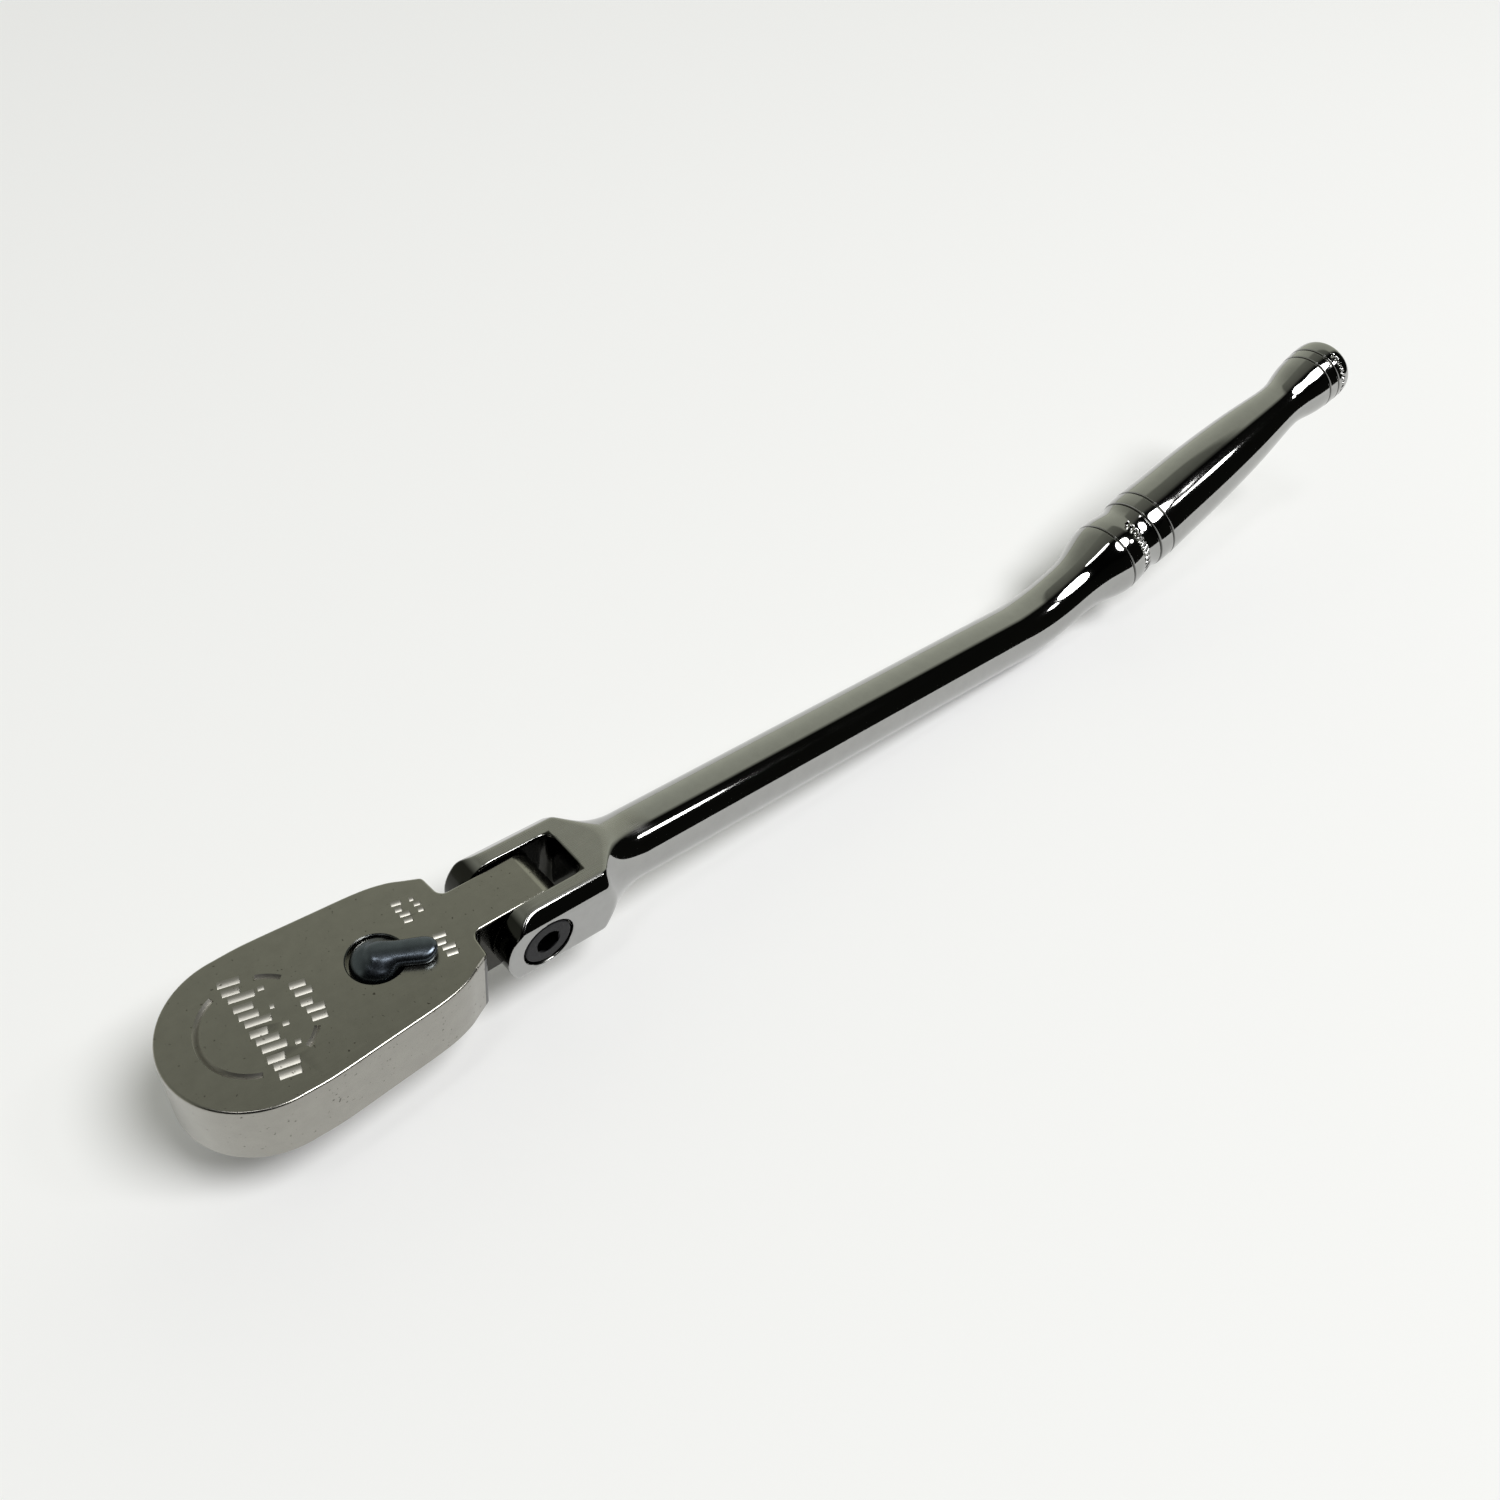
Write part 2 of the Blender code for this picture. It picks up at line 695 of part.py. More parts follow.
def yoke_section():
    """The yoke's chamfered section, seen along the handle."""
    wide = YOKE_HALF_WIDTH
    high = YOKE_HALF_HEIGHT
    side = high - YOKE_CHAMFER
    top = wide - YOKE_CHAMFER
    right = [(top, -high), (wide, -side), (wide, side), (top, high)]
    left = [(-x, -y) for x, y in right]
    return right + left


def yoke_tip_outline():
    """What is cut away in front of the ears' round tips, seen from the side."""
    outer = 0.013
    round_tip = arc((0, 0), YOKE_TIP, 270, 90, 18)
    return [*round_tip, (0, outer), (-outer, outer), (-outer, -outer), (0, -outer)]


def slot_outline():
    """The yoke's slot in plan, with rounded inner corners."""
    corner = 0.002
    front = -0.013
    back = SLOT_END - corner
    side = SLOT_HALF_WIDTH - corner
    outline = [(front, -SLOT_HALF_WIDTH)]
    outline += arc((back, -side), corner, -90, 0, 4)
    outline += arc((back, side), corner, 0, 90, 4)
    outline.append((front, SLOT_HALF_WIDTH))
    return outline


def build_handle(frame, chrome, black, spring_steel):
    """The one-piece handle, the pivot screw and the two friction washers."""
    curve = bpy.data.curves.new("handle_bar", "CURVE")
    curve.dimensions = "3D"
    curve.bevel_depth = 0.001
    curve.bevel_resolution = 8
    curve.use_fill_caps = True
    spline = curve.splines.new("POLY")
    stations = handle_stations()
    spline.points.add(len(stations) - 1)
    for point, (along, height, radius) in zip(spline.points, stations):
        point.co = (along, 0, height, 1)
        point.radius = radius / curve.bevel_depth
    mesh = shade(solid_from_curve("handle_bar", curve), 25)
    handle = add_object("handle_bar", mesh, frame, finish=chrome)

    side_on = (math.radians(90), 0, 0)
    end_on = (math.radians(90), 0, math.radians(90))
    reach = 0.016
    around = [(-reach, -reach), (reach, -reach), (reach, reach), (-reach, reach)]
    flats = plate("yoke_flats_cutter", [around, yoke_section()], -0.012, NECK_END)
    cut(handle, add_object("yoke_flats_cutter", flats, frame, turn=end_on))
    tips = plate("yoke_tips_cutter", [yoke_tip_outline()], -0.012, 0.012)
    cut(handle, add_object("yoke_tips_cutter", tips, frame, turn=side_on))
    slot = plate("yoke_slot_cutter", [slot_outline()], -0.012, 0.012)
    cut(handle, add_object("yoke_slot_cutter", slot, frame))
    hole = cylinder("ear_hole_cutter", PIVOT_HOLE, -0.012, 0.012)
    cut(handle, add_object("ear_hole_cutter", hole, frame, turn=side_on))
    pocket = cylinder("counterbore_cutter", COUNTERBORE, COUNTERBORE_FLOOR, 0.012)
    cut(handle, add_object("counterbore_cutter", pocket, frame, turn=side_on))

    profile = (
        (0, SCREW_TOP),
        (SCREW_HEAD - 0.0003, SCREW_TOP),
        (SCREW_HEAD, SCREW_TOP - 0.0003),
        (SCREW_HEAD, COUNTERBORE_FLOOR + GAP),
        (PIVOT_SHANK, COUNTERBORE_FLOOR + GAP),
        (PIVOT_SHANK, -SCREW_TIP + 0.0005),
        (PIVOT_SHANK - 0.0005, -SCREW_TIP),
        (0, -SCREW_TIP),
    )
    turned = profile_mesh("pivot_screw", profile, closed=False)
    screw = turn_round(add_object("pivot_screw", turned, frame, turn=side_on, finish=black))
    socket = cylinder("hex_socket_cutter", HEX_SOCKET / math.sqrt(3), 0.0073, 0.010, 6)
    cut(screw, add_object("hex_socket_cutter", socket, frame, turn=side_on))
    for side, name in ((1, "friction_washer_near"), (-1, "friction_washer_far")):
        low = WASHER_RECESS_FLOOR + GAP
        high = SLOT_HALF_WIDTH - GAP
        section = washer_profile(PIVOT_SHANK + 0.0004, WASHER_RECESS - 0.0004, low, high)
        washer = profile_mesh(name, section, closed=True)
        tilt = math.radians(90 * side)
        turn_round(add_object(name, washer, frame, turn=(tilt, 0, 0), finish=spring_steel), 36)


def build():
    """Clear the scene and build the wrench."""
    clear_scene()
    add_collection(PARTS)
    add_collection(CUTTERS).hide_render = True
    chrome = metal("polished_chrome", (0.60, 0.60, 0.59), 0.08)
    satin = metal("satin_chrome", (0.42, 0.41, 0.36), 0.32)
    black = metal("black_oxide", (0.03, 0.03, 0.035), 0.40)
    dark = metal("dark_lever_steel", (0.10, 0.12, 0.14), 0.28)
    steel = metal("ground_steel", STEEL, 0.30)
    spring_steel = metal("spring_steel", (0.35, 0.34, 0.33), 0.35)
    rubber = metal("seal_rubber", (0.02, 0.02, 0.02), 0.70, metallic=0.0)

    at_pivot = (PIVOT_X, 0, HEAD_MID)
    handle_frame = add_empty("handle_frame", None, at_pivot, (0, HANDLE_DROOP, 0))
    head_pivot = add_empty("head_pivot", None, at_pivot)
    drive_axis = add_empty("drive_axis", head_pivot, (-PIVOT_X, 0, -HEAD_MID))
    lever_axis = add_empty("lever_axis", drive_axis, (LEVER_X, 0, 0), (0, 0, -LEVER_TURN))
    pawl_axis = add_empty("pawl_axis", drive_axis, (PAWL_X, 0, 0), (0, 0, PAWL_ROCK))
    ball_x = -SQUARE / 2 - BALL_PROUD + BALL_RADIUS
    detent_slide = add_empty("detent_slide", drive_axis, (ball_x, 0, DETENT_Z))
    plunger_slide = add_empty("plunger_slide", lever_axis, (0, 0, PLUNGER_Z))

    build_handle(handle_frame, chrome, black, spring_steel)
    build_head(head_pivot, drive_axis, satin)
    build_cover(drive_axis, steel, spring_steel, rubber)
    build_drive(drive_axis, steel)
    washer_low = GEAR_HIGH + GAP
    washer = washer_profile(UPPER_JOURNAL + 0.00035, 0.0088, washer_low, washer_low + 0.0004)
    thrust = profile_mesh("gear_thrust_washer", washer, closed=True)
    turn_round(add_object("gear_thrust_washer", thrust, drive_axis, finish=spring_steel))
    build_detent(drive_axis, detent_slide, steel, spring_steel)
    build_pawl(pawl_axis, drive_axis, steel)
    build_lever(lever_axis, plunger_slide, dark, steel, spring_steel, rubber)


build()
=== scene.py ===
"""Flex-head ratchet wrench with a 3/8 in square: its finished surfaces, finishes, light and camera.

Sizes are in millimetres and are scaled to metres as each piece is finished. The head's frame has its origin at
the centre of the drive square's end face, with +Z up through the head and +X towards the handle.
"""

import logging
import math
from collections.abc import Callable, Sequence
from dataclasses import dataclass, field
from enum import Enum
from functools import reduce

import bmesh
import bpy
import numpy as np
from mathutils import Matrix, Vector


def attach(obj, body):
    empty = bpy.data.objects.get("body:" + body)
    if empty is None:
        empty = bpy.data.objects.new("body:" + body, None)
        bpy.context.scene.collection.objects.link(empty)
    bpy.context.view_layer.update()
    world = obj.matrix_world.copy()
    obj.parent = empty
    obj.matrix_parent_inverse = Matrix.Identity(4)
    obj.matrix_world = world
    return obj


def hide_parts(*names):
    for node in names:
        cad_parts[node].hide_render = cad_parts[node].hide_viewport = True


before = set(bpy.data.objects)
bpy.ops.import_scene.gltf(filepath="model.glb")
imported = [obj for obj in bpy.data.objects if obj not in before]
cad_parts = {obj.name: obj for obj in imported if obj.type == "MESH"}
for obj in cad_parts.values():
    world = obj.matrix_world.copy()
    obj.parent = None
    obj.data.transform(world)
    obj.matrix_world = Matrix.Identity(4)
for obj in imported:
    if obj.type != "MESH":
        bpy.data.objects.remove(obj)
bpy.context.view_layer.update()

Mesh = bpy.types.Mesh
Object = bpy.types.Object
Material = bpy.types.Material
Point2 = tuple[float, float]
Colour = tuple[float, float, float]
Field = Callable[[np.ndarray], np.ndarray]
Socket = bpy.types.NodeSocket

MM = 0.001
MERGE = 1e-5
SMOOTH_ANGLE = 32.0
RIM_STEPS = 5
log = logging.getLogger("ratchet_wrench")


# Shaping


def arc(centre: Point2, radius: float, start: float, end: float, steps: int) -> list[Point2]:
    """Points of an arc.

    Args:
        centre: The arc's centre.
        radius: The arc's radius.
        start: The first angle, in degrees.
        end: The last angle, in degrees.
        steps: How many chords the arc has.

    Returns:
        The points, the two ends included.
    """
    angles = np.radians(np.linspace(start, end, steps + 1))
    return [(centre[0] + radius * math.cos(a), centre[1] + radius * math.sin(a)) for a in angles]


def flowing_line(points: Sequence[Point2], per_span: int = 6) -> list[Point2]:
    """A smooth line through points, as a bent lath would lie.

    Args:
        points: What the line passes through.
        per_span: How many chords it has between two of them.

    Returns:
        The line's points.
    """
    held = [points[0], *points, points[-1]]
    line: list[Point2] = []
    for a, b, c, d in zip(held, held[1:], held[2:], held[3:]):
        for step in range(per_span):
            t = step / per_span
            weights = (
                (-t + 2 * t**2 - t**3) / 2,
                (2 - 5 * t**2 + 3 * t**3) / 2,
                (t + 4 * t**2 - 3 * t**3) / 2,
                (t**3 - t**2) / 2,
            )
            spot = [sum(w * p[axis] for w, p in zip(weights, (a, b, c, d))) for axis in (0, 1)]
            line.append((spot[0], spot[1]))
    line.append(points[-1])
    return line


def inset(outline: Sequence[Point2], distance: float) -> list[Point2]:
    """An anticlockwise outline moved inwards by a distance, with mitred corners."""
    moved: list[Point2] = []
    count = len(outline)
    for index in range(count):
        here = Vector(outline[index])
        before = (here - Vector(outline[index - 1])).normalized()
        after = (Vector(outline[(index + 1) % count]) - here).normalized()
        normal = Vector((-before.y - after.y, before.x + after.x)).normalized()
        stretch = max(0.4, normal.dot(Vector((-before.y, before.x))))
        spot = here + normal * (distance / stretch)
        moved.append((spot.x, spot.y))
    return moved


def linked(name: str, data: bpy.types.ID) -> Object:
    """A new object with this data, linked to the scene."""
    item = bpy.data.objects.new(name, data)
    bpy.context.scene.collection.objects.link(item)
    return item


def coordinates(mesh: Mesh) -> np.ndarray:
    """The places of a mesh's points, one to a row."""
    places = np.zeros(len(mesh.vertices) * 3)
    mesh.vertices.foreach_get("co", places)
    return places.reshape(-1, 3)


def noted(mesh: Mesh, name: str, domain: str, values: Sequence[float]) -> None:
    """Give each point or face of a mesh a number that its material reads."""
    mesh.attributes.new(name, "FLOAT", domain).data.foreach_set("value", np.asarray(values, np.float32))


def cleaned(mesh: Mesh) -> Mesh:
    """Merge a mesh's doubled points and turn its faces outwards."""
    work = bmesh.new()
    work.from_mesh(mesh)
    bmesh.ops.remove_doubles(work, verts=work.verts, dist=MERGE)
    bmesh.ops.recalc_face_normals(work, faces=work.faces)
    work.to_mesh(mesh)
    work.free()
    return mesh


def mesh_of(name: str, points: Sequence[Sequence[float]], faces: Sequence[Sequence[int]]) -> Mesh:
    """A mesh whose doubled points are merged and whose faces point outwards."""
    mesh = bpy.data.meshes.new(name)
    mesh.from_pydata(points, [], faces)
    return cleaned(mesh)


def tube_faces(rings: int, sides: int) -> list[list[int]]:
    """The four-sided faces between rings of points that follow each other.

    Args:
        rings: How many rings there are.
        sides: How many points each ring has.

    Returns:
        The faces, ring after ring.
    """
    faces = []
    for base in range(0, (rings - 1) * sides, sides):
        for side in range(sides):
            after = (side + 1) % sides
            faces.append([base + side, base + after, base + sides + after, base + sides + side])
    return faces


def lathe(name: str, profile: Sequence[Point2], steps: int = 96, ring: bool = False) -> Mesh:
    """Turn a profile of (radius, height) about Z.

    Args:
        name: The mesh's name.
        profile: From axis to axis for a solid, or once round the section of a ring.
        steps: How many sides the turned shape has.
        ring: Whether the profile closes on itself.

    Returns:
        The closed mesh.
    """
    points: list[tuple[float, float, float]] = []
    rows: list[list[int]] = []
    for radius, height in profile:
        sides = steps if radius > MERGE else 1
        rows.append(list(range(len(points), len(points) + sides)))
        for side in range(sides):
            angle = math.tau * side / steps
            points.append((radius * math.cos(angle), radius * math.sin(angle), height))
    faces: list[list[int]] = []
    for low, high in zip(rows, rows[1:] + (rows[:1] if ring else [])):
        for side in range(steps):
            corners = [
                low[side % len(low)],
                low[(side + 1) % len(low)],
                high[(side + 1) % len(high)],
                high[side % len(high)],
            ]
            distinct = list(dict.fromkeys(corners))
            if len(distinct) > 2:
                faces.append(distinct)
    return mesh_of(name, points, faces)


def drill(name: str, radius: float, low: float, high: float, steps: int) -> Mesh:
    """A cylinder about Z that cuts a hole from one height to another."""
    return lathe(name, [(0, low), (radius, low), (radius, high), (0, high)], steps)


def prism(name: str, outline: Sequence[Point2], low: float, high: float, edge: float = 0.0) -> Mesh:
    """Extrude an outline along Z.

    Args:
        name: The mesh's name.
        outline: The section, anticlockwise.
        low: The lower end.
        high: The upper end.
        edge: The radius that both rims are rounded by.

    Returns:
        The closed mesh.
    """
    steps = RIM_STEPS if edge else 0
    rows = []
    for step in range(steps + 1):
        angle = math.radians(90 * (1 - step / steps)) if steps else 0.0
        rows.append((edge * (1 - math.cos(angle)), low + edge - edge * math.sin(angle)))
    rows += [(inward, low + high - height) for inward, height in reversed(rows)]
    points: list[tuple[float, float, float]] = []
    for inward, height in rows:
        points += [(x, y, height) for x, y in (inset(outline, inward) if inward else outline)]
    count = len(outline)
    ends = [list(reversed(range(count))), list(range(len(points) - count, len(points)))]
    return mesh_of(name, points, ends + tube_faces(len(rows), count))


def regular(sides: int, radius: float, turn: float = 0.0) -> list[Point2]:
    """The outline of a regular polygon."""
    return arc((0, 0), radius, turn, turn + 360 * (sides - 1) / sides, sides - 1)


def evaluated_mesh(item: Object) -> Mesh:
    """The mesh that an object's modifiers make, after which the object is removed."""
    bpy.context.view_layer.update()
    graph = bpy.context.evaluated_depsgraph_get()
    made = bpy.data.meshes.new_from_object(item.evaluated_get(graph), depsgraph=graph)
    made.name = item.name
    bpy.data.objects.remove(item, do_unlink=True)
    return made


def placed(mesh: Mesh, *matrices: Matrix) -> Mesh:
    """Move a mesh by one matrix after the other."""
    for matrix in matrices:
        mesh.transform(matrix)
    return mesh


def machined(mesh: Mesh, cutters: Sequence[Mesh], operation: str = "DIFFERENCE") -> Mesh:
    """Cut a mesh by others, or weld them to it.

    Args:
        mesh: The blank.
        cutters: What is cut out of it or welded to it, in turn.
        operation: DIFFERENCE or UNION.

    Returns:
        The machined mesh.
    """
    blank = linked(mesh.name, mesh)
    tools = [linked(cutter.name, cutter) for cutter in cutters]
    for tool in tools:
        boolean = blank.modifiers.new(tool.name, "BOOLEAN")
        boolean.operation = operation
        boolean.solver = "EXACT"
        boolean.object = tool
    made = evaluated_mesh(blank)
    for tool in tools:
        bpy.data.objects.remove(tool, do_unlink=True)
    made.materials.clear()
    return made


def soft_max(a: np.ndarray, b: np.ndarray, width: float) -> np.ndarray:
    """The larger of two fields, with the edge where they meet rounded over a width."""
    near = np.maximum(width - np.abs(a - b), 0.0) / width
    return np.maximum(a, b) + near * near * width / 4


def soft_min(a: np.ndarray, b: np.ndarray, width: float) -> np.ndarray:
    """The smaller of two fields, with the corner where they meet filled over a width."""
    return -soft_max(-a, -b, width)


def slopes(shape: Field, points: np.ndarray) -> np.ndarray:
    """The gradient of a field at points."""
    reach = 1e-3
    columns = []
    for axis in range(3):
        shift = np.zeros(3)
        shift[axis] = reach
        columns.append((shape(points + shift) - shape(points - shift)) / (2 * reach))
    return np.stack(columns, axis=-1)


def skin(shape: Field, low: Sequence[float], high: Sequence[float], step: float) -> tuple[np.ndarray, list]:
    """The surface where a field is zero, as an even net of four-sided faces.

    Args:
        shape: Negative inside the solid and positive outside it.
        low: The lowest corner of the space that is searched.
        high: Its highest corner.
        step: The net's spacing.

    Returns:
        The points and the faces, which point outwards.
    """
    axes = [np.arange(a, b + step, step) for a, b in zip(low, high)]
    value = shape(np.stack(np.meshgrid(*axes, indexing="ij"), axis=-1))
    size = np.array(value.shape) - 1
    corners = [np.array((i, j, k)) for i in (0, 1) for j in (0, 1) for k in (0, 1)]

    def at(corner: np.ndarray) -> np.ndarray:
        i, j, k = corner
        return value[i:i + size[0], j:j + size[1], k:k + size[2]]

    inside = sum((at(corner) < 0).astype(int) for corner in corners)
    active = (inside > 0) & (inside < 8)
    cells = np.argwhere(active)
    number = np.full(active.shape, -1)
    number[active] = np.arange(len(cells))
    total = np.zeros((len(cells), 3))
    hits = np.zeros(len(cells))
    for a in corners:
        for axis in range(3):
            if a[axis]:
                continue
            b = a.copy()
            b[axis] = 1
            va, vb = at(a)[active], at(b)[active]
            crossed = (va < 0) != (vb < 0)
            share = np.where(crossed, va / np.where(crossed, va - vb, 1.0), 0.0)
            total[crossed] += (a + share[:, None] * (b - a))[crossed]
            hits += crossed
    points = np.array(low) + (cells + total / hits[:, None]) * step
    faces: list = []
    for axis in range(3):
        one, two = (axis + 1) % 3, (axis + 2) % 3
        ends = [slice(None)] * 3
        ends[axis] = slice(1, None)
        starts = [slice(None)] * 3
        starts[axis] = slice(None, -1)
        crossed = (value[tuple(ends)] < 0) != (value[tuple(starts)] < 0)
        spots = np.argwhere(crossed)
        keep = np.all(spots >= np.eye(3, dtype=int)[one] + np.eye(3, dtype=int)[two], axis=1)
        keep &= (spots[:, one] < size[one]) & (spots[:, two] < size[two])
        spots = spots[keep]
        around = []
        for first, second in ((1, 1), (0, 1), (0, 0), (1, 0)):
            cell = spots.copy()
            cell[:, one] -= first
            cell[:, two] -= second
            around.append(number[tuple(cell.T)])
        quads = np.stack(around, axis=1)
        outward = value[tuple(spots.T)] < 0
        quads[~outward] = quads[~outward][:, ::-1]
        faces += quads.tolist()
    # A few steps down the slope bring the net onto the surface itself
    for _ in range(4):
        slope = slopes(shape, points)
        length = np.maximum((slope**2).sum(axis=1), 0.05)
        points = points - (shape(points) / length)[:, None] * slope
    return points, faces


def shaded(mesh: Mesh, angle: float = SMOOTH_ANGLE) -> Mesh:
    """Shade a mesh smooth between edges sharper than an angle in degrees, with flat faces kept flat."""
    mesh.shade_smooth()
    mesh.set_sharp_from_angle(angle=math.radians(angle))
    item = linked(mesh.name, mesh)
    weighted = item.modifiers.new("weighted", "WEIGHTED_NORMAL")
    weighted.keep_sharp = True
    weighted.weight = 50
    return evaluated_mesh(item)


def field_shaded(mesh: Mesh, shape: Field, reach: Field) -> np.ndarray:
    """Take the shading normals of a mesh from the field that it was made from.

    Args:
        mesh: A mesh in millimetres, still in the field's own frame.
        shape: The field.
        reach: Tells which points the field holds for.

    Returns:
        The normals of all points, zero where they were left to the faces.
    """
    points = coordinates(mesh)
    normals = slopes(shape, points)
    normals /= np.maximum(np.linalg.norm(normals, axis=1, keepdims=True), 1e-9)
    normals[~reach(points)] = 0.0
    mesh.shade_smooth()
    return normals


# Node trees


class Bench:
    """A node tree that is built a node at a time."""

    def __init__(self, tree: bpy.types.NodeTree) -> None:
        """Work on a tree."""
        self.tree = tree

    def put(self, socket: Socket, value: object) -> None:
        """Link an input to another socket, or set it to a value."""
        if isinstance(value, Socket):
            self.tree.links.new(value, socket)
        else:
            socket.default_value = value

    def reckon(self, operation: str, *values: object) -> Socket:
        """A Math node.

        Args:
            operation: What it does, such as ADD or SINE.
            values: A socket or a number for each input that the operation takes.

        Returns:
            The result.
        """
        node = self.tree.nodes.new("ShaderNodeMath")
        node.operation = operation
        for socket, value in zip(node.inputs, values):
            self.put(socket, value)
        return node.outputs[0]

    def times(self, *values: object) -> Socket:
        """The product of sockets and numbers."""
        return reduce(lambda a, b: self.reckon("MULTIPLY", a, b), values)

    def span(self, value: object, low: float, high: float, to_low: float, to_high: float) -> Socket:
        """Map one range to another, clamped."""
        node = self.tree.nodes.new("ShaderNodeMapRange")
        for index, given in enumerate((value, low, high, to_low, to_high)):
            self.put(node.inputs[index], given)
        return node.outputs[0]

    def mix(self, share: object, a: object, b: object) -> Socket:
        """A number between two others."""
        node = self.tree.nodes.new("ShaderNodeMix")
        for index, given in ((0, share), (2, a), (3, b)):
            self.put(node.inputs[index], given)
        return node.outputs[0]


class Stamp(Enum):
    """The repeated shapes that are grown by Geometry Nodes."""

    ARC = "arc"
    ROW = "row"
    RING = "ring"


class Growth(Bench):
    """A Geometry Nodes tree with named inputs."""

    def __init__(self, name: str) -> None:
        """Start a tree that has only its output and a material input."""
        super().__init__(bpy.data.node_groups.new(name, "GeometryNodeTree"))
        self.tree.interface.new_socket("Geometry", in_out="OUTPUT", socket_type="NodeSocketGeometry")
        self.result = self.tree.nodes.new("NodeGroupOutput")
        self.given = self.tree.nodes.new("NodeGroupInput")
        self.tree.interface.new_socket("Finish", in_out="INPUT", socket_type="NodeSocketMaterial")

    def inputs(self, **defaults: float) -> list[Socket]:
        """Add named inputs.

        Args:
            defaults: Each input's value, with its name's spaces as underscores. An int makes a whole number.

        Returns:
            Their sockets inside the tree.
        """
        names = [key.replace("_", " ") for key in defaults]
        for name, value in zip(names, defaults.values()):
            kind = "NodeSocketInt" if isinstance(value, int) else "NodeSocketFloat"
            socket = self.tree.interface.new_socket(name, in_out="INPUT", socket_type=kind)
            socket.default_value = value
        return [self.given.outputs[name] for name in names]

    def node(self, kind: str, settings: dict | None = None, **links: object) -> bpy.types.Node:
        """Add a geometry node.

        Args:
            kind: The node's type without its GeometryNode prefix.
            settings: Properties of the node.
            links: A value or a socket for each input, named as on the node with underscores for spaces.

        Returns:
            The node.
        """
        made = self.tree.nodes.new("GeometryNode" + kind)
        for key, value in (settings or {}).items():
            setattr(made, key, value)
        for key, value in links.items():
            self.put(made.inputs[key.replace("_", " ")], value)
        return made

    def vector(self, *parts: object) -> Socket:
        """A vector from up to three sockets or numbers, with zero for the rest."""
        made = self.tree.nodes.new("ShaderNodeCombineXYZ")
        for socket, value in zip(made.inputs, parts):
            self.put(socket, value)
        return made.outputs[0]

    def end(self, geometry: Socket) -> "Growth":
        """Finish the tree with Realize Instances and Set Material."""
        real = self.node("RealizeInstances", Geometry=geometry)
        dressed = self.node("SetMaterial", Geometry=real.outputs[0], Material=self.given.outputs["Finish"])
        self.tree.links.new(dressed.outputs[0], self.result.inputs[0])
        return self

    def grow(self, name: str, values: dict[str, object]) -> Mesh:
        """Run the tree and return its mesh.

        Args:
            name: The mesh's name.
            values: What each named input is set to.

        Returns:
            A plain mesh with outward faces.
        """
        item = linked(name, bpy.data.meshes.new(name))
        modifier = item.modifiers.new("growth", "NODES")
        modifier.node_group = self.tree
        for socket in self.tree.interface.items_tree:
            if socket.in_out == "INPUT" and socket.name in values:
                modifier[socket.identifier] = values[socket.name]
        mesh = cleaned(evaluated_mesh(item))
        mesh.materials.clear()
        return mesh


def groove_section(growth: Growth, half_width: Socket, depth: Socket, lean: float = 0.0) -> Socket:
    """The section that is swept along a stroke to cut a V groove.

    Args:
        growth: The tree that the section is built in.
        half_width: Half of the groove's width.
        depth: How deep its bottom is.
        lean: How far the bottom is off the middle, as a share of the half width.

    Returns:
        The closed curve.
    """
    off = growth.times(half_width, lean)
    section = growth.node(
        "CurvePrimitiveQuadrilateral",
        {"mode": "POINTS"},
        Point_1=growth.vector(half_width),
        Point_2=growth.vector(off, depth),
        Point_3=growth.vector(growth.times(half_width, -1.0)),
        Point_4=growth.vector(off, growth.times(depth, -1.0)),
    )
    return section.outputs[0]


def swept_stroke(growth: Growth, curve: Socket, section: Socket) -> Socket:
    """Sweep a groove's section along a curve and close its ends."""
    flat = growth.node("SetCurveNormal", {"mode": "Z_UP"}, Curve=curve)
    return growth.node("CurveToMesh", Curve=flat.outputs[0], Profile_Curve=section, Fill_Caps=True).outputs[0]


def arc_stamp() -> Growth:
    """A tree that grows one curved V groove about Z."""
    growth = Growth("arc_stamp")
    radius, start, sweep, half_width, depth = growth.inputs(
        Radius=8.0, Start=0.0, Sweep=1.0, Half_width=0.5, Depth=0.4
    )
    line = growth.node(
        "CurveArc", {"mode": "RADIUS"}, Resolution=40, Radius=radius, Start_Angle=start, Sweep_Angle=sweep
    )
    section = groove_section(growth, half_width, depth)
    return growth.end(swept_stroke(growth, line.outputs["Curve"], section))


def row_stamp() -> Growth:
    """A tree that sets V grooves along X side by side up the Y axis, in groups of three of uneven lengths."""
    growth = Growth("row_stamp")
    count, pitch, gap, length, slant, half_width, depth = growth.inputs(
        Count=8, Pitch=1.5, Gap=0.4, Length=3.0, Slant=-0.25, Half_width=0.4, Depth=0.4
    )
    line = growth.node("MeshLine", Count=count, Offset=growth.vector())
    index = growth.node("InputIndex").outputs[0]
    group = growth.reckon("FLOOR", growth.times(index, 0.3334))
    over = growth.reckon("ADD", growth.times(index, pitch), growth.times(group, gap))
    # A sine makes the strokes' lengths and starts uneven
    wave = growth.reckon("SINE", growth.times(index, 2.3))
    aside = growth.times(wave, length, 0.12)
    share = growth.reckon("ADD", growth.times(wave, 0.18), 0.82)
    set_out = growth.node("SetPosition", Geometry=line.outputs[0], Position=growth.vector(aside, over))
    half = growth.times(length, 0.5)
    path = growth.node(
        "CurvePrimitiveLine", Start=growth.vector(growth.times(half, -1.0)), End=growth.vector(half)
    )
    section = groove_section(growth, half_width, depth, 0.5)
    strokes = growth.node(
        "InstanceOnPoints",
        Points=set_out.outputs[0],
        Instance=swept_stroke(growth, path.outputs[0], section),
        Rotation=growth.vector(0.0, 0.0, slant),
        Scale=growth.vector(share, 1.0, 1.0),
    )
    return growth.end(strokes.outputs[0])


